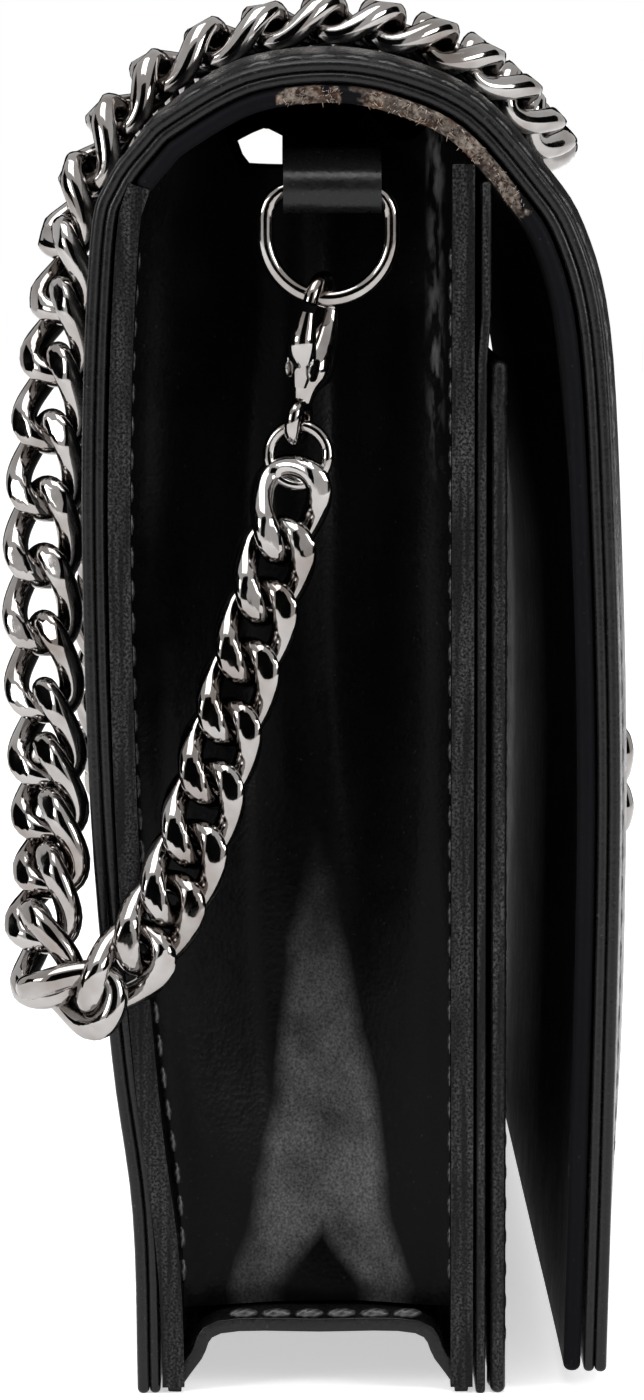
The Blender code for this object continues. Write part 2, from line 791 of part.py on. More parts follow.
def make_lever(prefix, clasp):
    """Sprung gate: from its pin up to just under the hook's tip."""
    points = [clasp.at(out * hook_radius, up * hook_radius) for out, up, _ in lever_shares]
    radii = [share * lever_radius for _, _, share in lever_shares]
    lever = tube(prefix + "_lever", points, radii, metal)
    hole = through_pivot("hole", clasp, clasp_body_radius, pin_radius + pin_clearance / 2)
    return join_with(lever, hole, "DIFFERENCE")


# Curb chain

def link_mesh(placement):
    """One twisted curb link: an oval of round wire, wrung so that it lies flat, with ground faces."""
    rings = []
    radius, limit = chain_wire / 2, chain_thickness / 2
    shape = bmesh.new()
    for i in range(link_segments):
        t = math.pi * (2 * i + 1) / link_segments
        centre = Vector((chain_half_length * math.cos(t), chain_half_width * math.sin(t),
                         chain_twist_height * math.sin(2 * t)))
        along = Vector((-chain_half_length * math.sin(t), chain_half_width * math.cos(t),
                        2 * chain_twist_height * math.cos(2 * t))).normalized()
        outward = Vector((math.cos(t) / chain_half_length, math.sin(t) / chain_half_width, 0))
        outward = (outward - along * outward.dot(along)).normalized()
        side = along.cross(outward)
        ring = []
        for j in range(link_sides):
            a = math.pi + 2 * math.pi * j / link_sides
            point = centre + outward * (radius * math.cos(a)) + side * (radius * math.sin(a))
            point.z = max(-limit, min(limit, point.z))
            ring.append(shape.verts.new(placement @ point))
        rings.append(ring)
    for i in range(link_segments):
        a, b = rings[i], rings[(i + 1) % link_segments]
        for j in range(link_sides):
            k = (j + 1) % link_sides
            shape.faces.new((a[j], a[k], b[k], b[j]))
    return shape


def skin_contact(x_share, path, normals, place, turn, side):
    """Centre of the chain where it rests on the skin, and the direction its face looks."""
    low = min(int(place), len(path) - 2)
    point = path[low].lerp(path[low + 1], place - low)
    normal = normals[low].lerp(normals[low + 1], place - low).normalized()
    edge_on = math.radians(turn)
    flat = math.cos(edge_on) * chain_thickness / 2
    upright = math.sin(edge_on) * (chain_half_width + chain_wire / 2)
    out = crown(x_share, point) + seat_gap * (1 + 2 * math.sin(2 * edge_on)) + math.hypot(flat, upright)
    centre = Vector((x_share * half_width, point.x + normal.x * out, point.y + normal.y * out))
    face = Vector((side * math.sin(edge_on), normal.x * math.cos(edge_on), normal.y * math.cos(edge_on)))
    return centre, face


def place_at_level(path, level):
    """Where a rising path passes a level, counted in its points."""
    low = max(i for i, point in enumerate(path[:-1]) if point.y <= level)
    return low + (level - path[low].y) / (path[low + 1].y - path[low].y)


def end_stations(side, clasp):
    """Stations from one jump ring down, round the back corner and up to the flap's bend."""
    ring = clasp.jump_ring()
    x, y, z = (share * jump_ring_radius for share in first_hang_shares)
    hanging = [(ring, first_link_turn), (ring + Vector((side * x, y, z)), first_link_turn)]
    for x, y, z, turn in hanging_stations_shares:
        hanging.append((Vector((-side * x * half_width, y * bag_depth, z * bag_height)), turn))
    stations = []
    for point, turn in hanging:
        stations.append((point, Matrix.Rotation(math.radians(turn), 3, "Z") @ Vector((side, 0, 0))))
    for x, level, turn in back_stations_shares:
        place = place_at_level(back_outline, level * bag_height)
        stations.append(skin_contact(-side * x, back_outline, back_normals, place, turn, side))
    return stations


class Route:
    """The chain's middle line and face direction by length along it."""

    def __init__(self, stations):
        self.points = smooth_path([p for p, _ in stations], route_steps)
        faces = smooth_path([n for _, n in stations], route_steps)
        self.faces = [n.normalized() for n in faces]
        self.lengths = [0.0]
        for a, b in zip(self.points, self.points[1:]):
            self.lengths.append(self.lengths[-1] + (b - a).length)
        self.length = self.lengths[-1]

    def station_length(self, order):
        """How far along the route a station is."""
        return self.lengths[order * route_steps]

    def from_end(self, side, along):
        """A length measured from the near or the far end, as one from the near end."""
        return along if side < 0 else self.length - along

    def at(self, along):
        """Middle point and face direction at a length."""
        along = min(max(along, 0.0), self.length)
        i = next(i for i in range(1, len(self.lengths)) if self.lengths[i] >= along)
        share = (along - self.lengths[i - 1]) / (self.lengths[i] - self.lengths[i - 1])
        middle = self.points[i - 1].lerp(self.points[i], share)
        return middle, self.faces[i - 1].lerp(self.faces[i], share)

    def placement(self, along):
        """Where a link sits: its length along the route, its face as the route says."""
        middle, face = self.at(along)
        ahead, _ = self.at(along + chain_pitch / 2)
        behind, _ = self.at(along - chain_pitch / 2)
        tangent = (ahead - behind).normalized()
        face = (face - tangent * face.dot(tangent)).normalized()
        across = face.cross(tangent)
        return Matrix.Translation(middle) @ Matrix((tangent, across, face)).transposed().to_4x4()


def single_link(name, route, along):
    """One loose link."""
    return add_mesh(name, mesh_from(link_mesh(route.placement(along))), metal)


def fused_run(name, route, places):
    """Links fused where they touch: every second one joined in one Boolean with the rest."""
    halves = []
    for first in (0, 1):
        half = bmesh.new()
        for along in places[first::2]:
            half.from_mesh(mesh_from(link_mesh(route.placement(along))))
        mesh = bpy.data.meshes.new("half")
        half.to_mesh(mesh)
        half.free()
        halves.append(mesh)
    run, rest = add_mesh(name, halves[0], metal), add_mesh("half", halves[1], metal)
    join_with(run, rest, "UNION", "MANIFOLD")
    fewer = run.modifiers.new("fewer", "DECIMATE")
    fewer.ratio = run_keep_share
    return drop_slivers(apply_modifiers(run))


def make_end(prefix, side, route, before):
    """Loose links and fused runs of one end; returns where the next link after them would sit.
    The bend run lies over the flap's hinge, a little further over the top than under it."""
    first = jump_ring_radius + chain_half_length - (jump_ring_wire + chain_wire) / 2 - seat_gap / 2
    for i in range(hanging_links):
        place = route.from_end(side, first + i * chain_pitch)
        single_link("%s_chain_link_%d" % (prefix, i + 1), route, place)
    corner_start = first + (hanging_links - 1) * chain_pitch + open_pitch
    back_start = corner_start + (corner_links - 1) * fused_pitch + chain_pitch
    crossing = (route.station_length(before) + route.station_length(before + 1)) / 2
    room = route.from_end(side, crossing) + bend_shift - (bend_links - 1) * fused_pitch / 2 - back_start
    back_links = round(room / fused_pitch)
    bend_start = back_start + (back_links - 1) * fused_pitch + run_pitch
    runs = [("corner", corner_start, corner_links), ("back", back_start, back_links),
            ("bend", bend_start, bend_links)]
    for name, start, count in runs:
        places = [route.from_end(side, start + i * fused_pitch) for i in range(count)]
        fused_run("%s_chain_%s" % (prefix, name), route, places)
    return route.from_end(side, bend_start + (bend_links - 1) * fused_pitch + run_pitch)


def make_chain(near_clasp, far_clasp):
    """The whole chain: one end, over the top, and the other end."""
    near = end_stations(-1, near_clasp)
    far = end_stations(1, far_clasp)
    last = len(flap_outline) - 1
    top = [skin_contact(x, flap_outline, flap_normals, share * last, 0, 1)
           for x, share in top_stations_shares]
    route = Route(near + top + list(reversed(far)))
    start = make_end("near", -1, route, len(near) - 1)
    reach = make_end("far", 1, route, len(near) + len(top) - 1) - start
    count = round(reach / fused_pitch)
    fused_run("top_chain", route, [start + i * reach / count for i in range(count + 1)])


def stand_on_origin():
    """Centres the finished object over the origin."""
    bpy.context.view_layer.update()
    corners = []
    for thing in parts.objects:
        evaluated = thing.evaluated_get(bpy.context.evaluated_depsgraph_get())
        corners += [evaluated.matrix_world @ v.co for v in evaluated.data.vertices]
    low = Vector(min(c[i] for c in corners) for i in range(3))
    high = Vector(max(c[i] for c in corners) for i in range(3))
    shift = -(low + high) / 2
    shift.z = -low.z
    for thing in parts.objects:
        thing.data.transform(Matrix.Translation(shift))
    return shift


def joint_axis(name, place, axis, nodes, carrier=None):
    """An empty with its Z on a joint's axis, which carries the pieces that turn or slide there."""
    bpy.context.view_layer.update()
    holder = bpy.data.objects.new(name, None)
    parts.objects.link(holder)
    holder.matrix_world = Matrix.Translation(place) @ axis.to_track_quat("Z", "Y").to_matrix().to_4x4()
    riders = [parts.objects[node] for node in nodes]
    if carrier:
        holder.parent = carrier
        holder.matrix_parent_inverse = carrier.matrix_world.inverted()
    bpy.context.view_layer.update()
    for rider in riders:
        rider.parent = holder
        rider.matrix_parent_inverse = holder.matrix_world.inverted()
    return holder


def add_joint_axes(shift, clasps):
    """The empties that the record's joints turn about or slide along."""
    hinge, out = back_outline[-1], back_normals[-1]
    hinge = hinge + out * crown(0.0, hinge)
    joint_axis("flap_hinge", Vector((0, hinge.x, hinge.y)) + shift, Vector((-1, 0, 0)),
               ["flap", "flap_lining", "snap_socket", "flap_ornament", "top_chain"])
    for prefix, side in (("near", -1), ("far", 1)):
        clasp = clasps[prefix]
        bar = Vector((ring_x(side), ring_middle_y, ring_bar))
        ring = joint_axis(prefix + "_ring_swing", bar + shift, Vector((0, -side, 0)), [prefix + "_ring"])
        links = ["%s_chain_link_%d" % (prefix, i + 1) for i in range(hanging_links)]
        swing = joint_axis(prefix + "_clasp_swing", clasp.ring_wire + shift, Vector((0, -side, 0)),
                           [prefix + "_clasp", prefix + "_clasp_pin", prefix + "_jump_ring"] + links, ring)
        joint_axis(prefix + "_lever_press", clasp.pivot() + shift, -clasp.thick, [prefix + "_lever"], swing)
    slider, pull = parts.objects["zip_slider"], parts.objects["zip_pull"]
    slide = joint_axis("zip_slide", Vector(slider.bound_box[0]), Vector((1, 0, 0)), ["zip_slider"])
    joint_axis("zip_pull_lift", Vector(pull.bound_box[0]), Vector((0, -1, 0)), ["zip_pull"], slide)


def shade_round_pieces():
    """Smooth shading for the metal pieces."""
    for thing in parts.objects:
        if thing.type == "MESH" and thing.data.materials[0] == metal:
            thing.data.shade_smooth()
            thing.data.set_sharp_from_angle(angle=smooth_angle)


def main():
    """Makes every piece, stands the wallet on the origin and adds the joints."""
    clear_scene()
    skin_sheet("back_panel", back_outline, back_normals, 0.0, skin_thickness, leather)
    make_gusset("near_gusset", -1)
    make_gusset("far_gusset", 1)
    make_base()
    make_front()
    make_lining()
    make_cards()
    make_divider()
    make_slider()
    skin_sheet("flap", drawn_back(flap_outline, hinge_gap), flap_normals, 0.0, skin_thickness, leather)
    skin_sheet("flap_lining", flap_outline[1:], flap_normals[1:], behind_skin, flap_lining_thickness,
               inner_leather)
    make_snap()
    make_ornament()
    clasps = {}
    for prefix, side in (("near", -1), ("far", 1)):
        make_tab(prefix + "_tab", side)
        make_ring(prefix + "_ring", side)
        clasps[prefix] = make_clasp(prefix, side)
    make_chain(clasps["near"], clasps["far"])
    add_joint_axes(stand_on_origin(), clasps)
    shade_round_pieces()


main()
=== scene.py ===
# %% [markdown]
# # A wallet on chain
# A wallet on chain is a small box-shaped flap bag. Its ends fold in like bellows, its flap runs over the
# top and down the front, and a curb chain clips to a ring in a leather tab at each end. The CAD frame
# already stands in the right place, so each cell here replaces one of its plain solids with a detailed
# piece, in metres, in the frame's own coordinates.

# %% Load the frame
import contextlib
import json
import math
import random

import bmesh
import bpy
from mathutils import Matrix, Vector


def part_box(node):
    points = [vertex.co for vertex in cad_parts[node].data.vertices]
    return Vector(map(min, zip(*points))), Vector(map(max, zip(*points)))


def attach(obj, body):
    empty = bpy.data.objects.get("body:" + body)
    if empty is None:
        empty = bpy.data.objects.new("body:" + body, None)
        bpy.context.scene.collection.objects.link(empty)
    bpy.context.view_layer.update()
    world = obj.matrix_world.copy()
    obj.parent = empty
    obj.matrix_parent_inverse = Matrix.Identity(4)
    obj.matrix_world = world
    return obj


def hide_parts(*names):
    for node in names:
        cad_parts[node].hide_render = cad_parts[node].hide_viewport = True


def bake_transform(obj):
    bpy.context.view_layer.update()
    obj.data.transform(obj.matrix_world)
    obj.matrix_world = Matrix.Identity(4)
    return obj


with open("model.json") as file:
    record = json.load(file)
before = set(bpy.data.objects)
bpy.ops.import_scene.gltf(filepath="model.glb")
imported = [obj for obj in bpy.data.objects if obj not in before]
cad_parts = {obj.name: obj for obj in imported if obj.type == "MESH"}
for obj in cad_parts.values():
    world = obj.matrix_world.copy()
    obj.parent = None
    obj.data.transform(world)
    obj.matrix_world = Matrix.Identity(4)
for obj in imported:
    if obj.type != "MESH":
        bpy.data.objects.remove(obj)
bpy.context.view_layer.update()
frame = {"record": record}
chance = random.Random(7)

# %% [markdown]
# ## Camera
# The photograph looks straight at one folded end of the bag from about 0.7 m, a little downwards. The lens
# and place were fitted to the bag's outline, so the perspective of the far end agrees with the photograph.

# %% Camera
pitch, yaw = math.radians(4.795), math.radians(0.368)
look = Vector((math.cos(pitch) * math.cos(yaw), -math.cos(pitch) * math.sin(yaw), -math.sin(pitch)))
bpy.ops.object.camera_add(location=(-0.7875, 0.006915, 0.129))
camera = bpy.context.object
camera.rotation_euler = look.to_track_quat("-Z", "Y").to_euler()
camera.data.sensor_fit = "VERTICAL"
camera.data.sensor_width = camera.data.sensor_height = 36
camera.data.lens = 36 * 6576 / 1400
camera.data.clip_start = 0.01
bpy.context.scene.camera = camera
print("camera looks along", [round(v, 3) for v in look])

# %% [markdown]
# ## Working by hand in code
# Every piece starts as a primitive or a curve, and operators act on whatever is selected, so these helpers
# deselect first and pick one object. `editing` opens edit mode and leaves it again.


# %% Helpers for selecting and editing
def alone(thing):
    """Selects one object and nothing else."""
    bpy.ops.object.select_all(action="DESELECT")
    thing.select_set(True)
    bpy.context.view_layer.objects.active = thing
    return thing


def added(name, primitive, **settings):
    """Adds a primitive and names it."""
    bpy.ops.object.select_all(action="DESELECT")
    primitive(**settings)
    thing = bpy.context.object
    thing.name = thing.data.name = name
    return alone(thing)


@contextlib.contextmanager
def editing(thing, kind="FACE", everything=True):
    """Edit mode on one object, in one selection mode, at first with everything selected."""
    alone(thing)
    bpy.ops.object.mode_set(mode="EDIT")
    bpy.ops.mesh.select_mode(type=kind)
    if everything:
        bpy.ops.mesh.select_all(action="SELECT")
    yield
    bpy.ops.object.mode_set(mode="OBJECT")


def apply_modifiers(thing):
    """Applies every modifier of an object in its order."""
    alone(thing)
    for modifier in list(thing.modifiers):
        bpy.ops.object.modifier_apply(modifier=modifier.name)
    return thing


def softened(thing, width, segments, limit="ANGLE"):
    """Rounds the edges, by default the sharp ones."""
    soft = thing.modifiers.new("soft", "BEVEL")
    soft.width, soft.segments, soft.limit_method = width, segments, limit
    return apply_modifiers(thing)


def recalculated(thing):
    """Turns the faces of a closed mesh outwards."""
    with editing(thing):
        bpy.ops.mesh.normals_make_consistent(inside=False)
    return thing


def moved(thing, *steps):
    """Moves, turns or stretches a mesh by one matrix after another."""
    for step in steps:
        thing.data.transform(step)
    return thing


def joined(name, things):
    """Joins objects into the first one."""
    alone(things[0])
    for thing in things:
        thing.select_set(True)
    bpy.ops.object.join()
    things[0].name = name
    return things[0]


quarter = math.pi / 2
turn_x, turn_y = Matrix.Rotation(quarter, 4, "X"), Matrix.Rotation(quarter, 4, "Y")
print("helpers are ready")


# %% [markdown]
# ## Lines that the leather follows
# Seen from the end, the bag's skin is one line: up the back, over the top and down the front. A Catmull-Rom
# curve through a few measured stations gives that line, and its normals give the depth of every layer.

# %% Sizes and the outline of the skin
bag_width, bag_height, bag_depth = 0.225, 0.138, 0.0555
half_width = bag_width / 2
seat_gap = 0.0003
skin_thickness, flap_lining_thickness, gusset_thickness = 0.0024, 0.0018, 0.0023
y_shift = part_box("front_pocket")[0].y + 0.0198
outline_shares = [
    (0.332, 0.0), (0.341, 0.136), (0.380, 0.258), (0.418, 0.444), (0.432, 0.679), (0.416, 0.862),
    (0.385, 0.910), (0.326, 0.942), (0.276, 0.960), (0.133, 0.991), (-0.027, 1.0), (-0.168, 0.991),
    (-0.301, 0.966), (-0.416, 0.915), (-0.485, 0.872), (-0.533, 0.797), (-0.555, 0.648),
    (-0.567, 0.449), (-0.557, 0.203), (-0.546, 0.016),
]
hinge_station, cad_steps, fine_steps = 6, 2, 5


def smooth_path(points, steps):
    """Catmull-Rom curve through points of any dimension."""
    ends = [points[0] * 2 - points[1]] + points + [points[-1] * 2 - points[-2]]
    path = []
    for a, b, c, d in zip(ends, ends[1:], ends[2:], ends[3:]):
        for step in range(steps):
            t = step / steps
            square = (a * 2 - b * 5 + c * 4 - d) * t * t
            cube = (b * 3 - a - c * 3 + d) * t * t * t
            path.append((b * 2 + (c - a) * t + square + cube) / 2)
    return path + [points[-1]]


def outline(steps):
    """The skin's end-view line, as (y, z)."""
    shift = Vector((y_shift, 0))
    return smooth_path([Vector((y * bag_depth, z * bag_height)) + shift for y, z in outline_shares], steps)


def outward(path):
    """Outward normals of a line that runs up the back and down the front."""
    normals = []
    for i in range(len(path)):
        along = path[min(i + 1, len(path) - 1)] - path[max(i - 1, 0)]
        normals.append(Vector((along.y, -along.x)).normalized())
    return normals


def eased(share):
    """A share from 0 to 1 that starts and ends softly."""
    share = min(1.0, max(0.0, share))
    return share * share * (3 - 2 * share)


def crown(x_share, point):
    """How far the padded skin stands proud: nothing on the back, full over the top, fading at the foot."""
    level = point.y / bag_height
    if point.x > y_shift:
        fade = eased((level - outline_shares[hinge_station][1]) / (1 - outline_shares[hinge_station][1]))
    else:
        fade = eased(level / 0.3)
    return 0.0020 * (1 - abs(x_share) ** 10) * fade


def at_level(path, level):
    """The point of a rising line at a level."""
    for a, b in zip(path, path[1:]):
        if a.y <= level <= b.y:
            return a.lerp(b, (level - a.y) / (b.y - a.y))
    return path[-1] if level > path[-1].y else path[0]


skin = outline(fine_steps)
skin_out = outward(skin)
hinge = hinge_station * fine_steps
back_line, back_out = skin[:hinge + 1], skin_out[:hinge + 1]
flap_line, flap_out = skin[hinge:], skin_out[hinge:]
print(len(skin), "points round the skin, y shift", round(y_shift * 1000, 3), "mm")

# %% [markdown]
# ## Finishes
# Glazed calf is nearly black. It has a very fine grain, dust-like speckle and a soft broken gloss. The cut
# edges are near-black paint with a painted sheen of grey sparkle, the gussets have a painted grey sheen low
# down, the inner leather is matt navy-black, and the metal is polished gunmetal. Each finish is a node
# material on Object coordinates, so the grain keeps its real size.


# %% A helper for node materials
class Nodes:
    """A node tree whose nodes are added one at a time."""

    def __init__(self, tree):
        self.tree = tree

    def node(self, kind, values=(), **settings):
        """Adds a node; values are pairs of an input and a number, a colour or a link."""
        made = self.tree.nodes.new(kind)
        for key, value in settings.items():
            setattr(made, key, value)
        for key, value in values:
            if isinstance(value, bpy.types.NodeSocket):
                self.tree.links.new(value, made.inputs[key])
            else:
                made.inputs[key].default_value = value
        return made

    def ranged(self, value, low, high, to_low=0.0, to_high=1.0):
        """Stretches a value between two levels to other ones, clamped."""
        values = [("Value", value), ("From Min", low), ("From Max", high), ("To Min", to_low), ("To Max", to_high)]
        return self.node("ShaderNodeMapRange", values).outputs["Result"]

    def maths(self, operation, *values):
        """Arithmetic on two or more values, from left to right."""
        result = values[0]
        for value in values[1:]:
            result = self.node("ShaderNodeMath", [(0, result), (1, value)], operation=operation).outputs[0]
        return result

    def times(self, *values):
        """The product of some values."""
        return self.maths("MULTIPLY", *values)

    def apart(self, a, b):
        """The distance between two values."""
        return self.node("ShaderNodeMath", [(0, self.maths("SUBTRACT", a, b))], operation="ABSOLUTE").outputs[0]


class Finish(Nodes):
    """A Principled material on the piece's own coordinates."""

    def __init__(self, name, roughness=0.5, metallic=0.0, specular=0.5, sheen=0.0):
        self.material = bpy.data.materials.new(name)
        self.material.use_nodes = True
        super().__init__(self.material.node_tree)
        self.shader = self.tree.nodes["Principled BSDF"]
        levels = {"Roughness": roughness, "Metallic": metallic, "Specular IOR Level": specular, "Sheen Weight": sheen}
        for key, value in levels.items():
            self.shader.inputs[key].default_value = value
        self.place = self.node("ShaderNodeTexCoord").outputs["Object"]

    def noise(self, scale, detail=2.0, upright=1.0):
        """Noise at a number of features per metre, drawn out upwards where upright is under 1."""
        place = self.place
        if upright < 1.0:
            stretch = [(0, place), (1, (1.0, 1.0, upright))]
            place = self.node("ShaderNodeVectorMath", stretch, operation="MULTIPLY").outputs[0]
        values = [("Vector", place), ("Scale", scale), ("Detail", detail)]
        return self.node("ShaderNodeTexNoise", values).outputs["Fac"]

    def cloud(self, scale, detail, low, high, to_low=0.0, to_high=1.0, upright=1.0):
        """Noise, stretched between two levels."""
        return self.ranged(self.noise(scale, detail, upright), low, high, to_low, to_high)

    def waves(self, scale, distortion, direction):
        """Parallel ribs at a number per metre."""
        values = [("Vector", self.place), ("Scale", scale), ("Distortion", distortion)]
        return self.node("ShaderNodeTexWave", values, bands_direction=direction).outputs["Fac"]

    def mixed(self, share, a, b):
        """Mixes two colours."""
        colours = [(6 + i, c if isinstance(c, bpy.types.NodeSocket) else (*c, 1.0)) for i, c in enumerate((a, b))]
        return self.node("ShaderNodeMix", [(0, share), *colours], data_type="RGBA").outputs[2]

    def axis(self, name):
        """One coordinate of the place on the object."""
        return self.node("ShaderNodeSeparateXYZ", [(0, self.place)]).outputs[name]

    def give(self, socket, value):
        """Links a value to the shader."""
        self.tree.links.new(value, self.shader.inputs[socket])

    def paint(self, share, a, b):
        """Mixes two colours for the shader."""
        self.give("Base Color", self.mixed(share, a, b))

    def painted(self):
        """The colour that the shader has so far."""
        return self.shader.inputs["Base Color"].links[0].from_socket

    def bump(self, height, distance, strength=1.0):
        """Raises the surface by a height, in metres at height 1."""
        values = [("Height", height), ("Distance", distance), ("Strength", strength)]
        self.give("Normal", self.node("ShaderNodeBump", values).outputs["Normal"])


# %% Black glazed calf
def calf(name, tone=0.0036, roughness=(0.22, 0.38), specular=0.20, sheen=0.0):
    """Smooth black leather: fine pores, broken gloss and a dust of lighter specks."""
    finish = Finish(name, specular=specular, sheen=sheen)
    dark, pale, dust = ((tone * grey, tone * grey, tone * blue) for grey, blue in ((1, 1.08), (1.5, 1.65), (7, 7.3)))
    base = finish.mixed(finish.cloud(60, 3.0, 0.35, 0.7), dark, pale)
    finish.paint(finish.cloud(2600, 1.0, 0.70, 0.80), base, dust)
    gloss = finish.maths("ADD", finish.noise(240, 4.0), finish.noise(1500, 1.0))
    finish.give("Roughness", finish.ranged(gloss, 0.7, 1.3, *roughness))
    pores = finish.node("ShaderNodeTexVoronoi", [("Vector", finish.place), ("Scale", 1900)]).outputs["Distance"]
    finish.bump(finish.maths("ADD", finish.times(pores, 0.5), finish.noise(420, 2.0)), 0.00007, 0.5)
    return finish


black_calf = calf("black_calf")
print("black calf has", len(black_calf.tree.nodes), "nodes")


# %% Painted cut edges, with a painted sheen
def edge_paint_and_sheen():
    """The edge: near-black paint with a painted sheen of fine grey sparkle gathered in upright streaks."""
    finish = Finish("edge_paint_and_sheen", specular=0.08)
    speckle = finish.cloud(3600, 3.0, 0.40, 0.72)
    sheen_streaks = finish.cloud(1300, 2.0, 0.38, 0.62, 0.10, upright=0.05)
    broad = finish.cloud(90, 2.0, 0.35, 0.65, 0.45)
    # The grey sparkle in upright streaks is a painted sheen on the near-black paint.
    finish.paint(finish.times(speckle, sheen_streaks, broad), (0.0030, 0.0030, 0.0034), (0.060, 0.060, 0.062))
    finish.give("Roughness", finish.ranged(speckle, 0.0, 1.0, 0.34, 0.60))
    finish.bump(finish.noise(3600, 3.0), 0.00006, 0.6)
    return finish


cut_edge = edge_paint_and_sheen()
print("edge paint has", len(cut_edge.tree.nodes), "nodes")


# %% Gusset leather, with a painted sheen low down
def gusset_leather():
    """Calf whose lower end carries a painted grey speckled sheen, with a peeled line by the front seam."""
    finish = calf("gusset_calf", tone=0.0014, roughness=(0.24, 0.36), specular=0.045)
    across, up = finish.axis("Y"), finish.axis("Z")
    wobble = finish.cloud(55, 3.0, 0.3, 0.7, -0.0012, 0.0012)
    distance = finish.apart(finish.maths("ADD", across, wobble), finish.ranged(up, 0.010, 0.050, 0.0026, 0.0037))
    # The painted sheen is a tall wedge that flares at the foot, where a small arch is left dark.
    half = finish.maths("ADD", finish.ranged(up, 0.058, 0.035, 0.0006, 0.0048),
                        finish.ranged(up, 0.035, 0.019, 0.0, 0.0014), finish.ranged(up, 0.019, 0.0100, 0.0, 0.0027))
    inside = finish.ranged(finish.maths("SUBTRACT", half, distance), -0.0003, 0.0014)
    arch = finish.ranged(up, 0.0185, 0.0095, -0.0022, 0.0044)
    hollow = finish.ranged(finish.maths("SUBTRACT", distance, arch), -0.0006, 0.0012)
    ends = finish.times(finish.ranged(up, 0.058, 0.034), finish.ranged(up, 0.0092, 0.0115, 0.4))
    speckle = finish.cloud(3600, 3.0, 0.32, 0.72, 0.30)
    painted_sheen = finish.times(inside, hollow, ends, speckle, finish.cloud(170, 4.0, 0.35, 0.62, 0.45))
    strands = finish.cloud(1100, 5.0, 0.44, 0.66, upright=0.30)
    seam = finish.apart(across, -0.0092)
    peel = finish.times(finish.ranged(seam, 0.0011, 0.0002), finish.ranged(up, 0.094, 0.106), strands)
    # Mixes in the painted sheen: a grey reflection painted into the colour of the lower gusset.
    colour = finish.mixed(painted_sheen, finish.painted(), (0.105, 0.105, 0.107))
    finish.paint(peel, colour, (0.065, 0.065, 0.065))
    return finish


gusset_calf = gusset_leather()
print("gusset calf has", len(gusset_calf.tree.nodes), "nodes")


# %% Inner leather, with its worn edge
def inner_leather():
    """Matt navy-black leather. Along the near edge over the tab its skin has come off the tan suede."""
    finish = calf("inner_leather", tone=0.0026, roughness=(0.50, 0.66), specular=0.035, sheen=0.01)
    rough = finish.cloud(380, 5.0, 0.3, 0.7, -0.0018, 0.0018)
    place = finish.maths("ADD", finish.axis("Y"), rough)
    first = finish.ranged(finish.apart(place, 0.0043), 0.0031, 0.0025)
    second = finish.ranged(finish.apart(place, -0.0093), 0.0086, 0.0080)
    near = finish.ranged(finish.maths("ADD", finish.axis("X"), finish.times(rough, 0.6)), -0.1106, -0.1112)
    above = finish.ranged(finish.axis("Z"), 0.1160, 0.1180)
    suede = finish.mixed(finish.cloud(1900, 5.0, 0.38, 0.66), (0.020, 0.012, 0.009), (0.25, 0.215, 0.185))
    rust, grime = finish.cloud(240, 3.0, 0.54, 0.68, 0.0, 0.55), finish.cloud(330, 4.0, 0.40, 0.62, 0.0, 0.75)
    suede = finish.mixed(grime, finish.mixed(rust, suede, (0.20, 0.085, 0.035)), (0.022, 0.015, 0.013))
    navy = finish.mixed(0.30, finish.painted(), (0.0018, 0.0022, 0.0050))
    finish.paint(finish.times(finish.maths("MAXIMUM", first, second), near, above), navy, suede)
    return finish


lining_leather = inner_leather()
print("inner leather has", len(lining_leather.tree.nodes), "nodes")


# %% Textile, thread, metal and suede
def twill():
    """Black twill: diagonal ribs with fine yarns across them."""
    finish = Finish("lining_twill", roughness=0.85, specular=0.2, sheen=0.25)
    ribs, yarns = finish.waves(480, 0.4, "DIAGONAL"), finish.waves(900, 0.6, "X")
    weave = finish.maths("ADD", finish.times(ribs, 0.7), finish.times(yarns, 0.3))
    finish.paint(weave, (0.008, 0.008, 0.009), (0.030, 0.030, 0.032))
    finish.bump(weave, 0.0001, 0.8)
    return finish


def waxed_thread():
    """Waxed black thread: plies that wind across the stitch."""
    finish = Finish("waxed_thread", roughness=0.42)
    plies = finish.waves(620, 1.0, "DIAGONAL")
    finish.paint(plies, (0.006, 0.006, 0.007), (0.036, 0.036, 0.038))
    finish.bump(plies, 0.00006, 0.7)
    return finish


def gunmetal_finish():
    """Polished gunmetal plating: dark, slightly brown in places, with hairline scratches."""
    finish = Finish("polished_gunmetal", metallic=1.0)
    finish.paint(finish.cloud(160, 3.0, 0.42, 0.72), (0.30, 0.287, 0.28), (0.17, 0.147, 0.134))
    finish.give("Roughness", finish.cloud(1100, 3.0, 0.3, 0.75, 0.05, 0.13))
    finish.bump(finish.noise(520, 2.0), 0.00005, 0.35)
    return finish


def clouded(name, scale, detail, levels, dark, pale, **settings):
    """A plain finish whose colour wanders between two."""
    finish = Finish(name, **settings)
    finish.paint(finish.cloud(scale, detail, *levels), dark, pale)
    return finish


textile, thread, gunmetal = twill(), waxed_thread(), gunmetal_finish()
suede = clouded("suede_fibre", 700, 2.0, (0.35, 0.65), (0.10, 0.05, 0.028), (0.36, 0.31, 0.27), roughness=0.9,
                specular=0.2)
black_enamel = clouded("black_enamel", 900, 3.0, (0.55, 0.75), (0.004, 0.004, 0.004), (0.016, 0.015, 0.014),
                       roughness=0.4, specular=0.15)
print("textile, thread, metal and suede are ready")

# %% [markdown]
# ## Handing a piece over
# A finished piece has its modifiers applied and its place in its mesh. It then gets its finish, rides on
# the body that carries it, and hides the CAD nodes that it stands for. Its end faces can take a second finish.


# %% Helper that finishes a piece
end_band, end_facing = 0.0012, 0.75


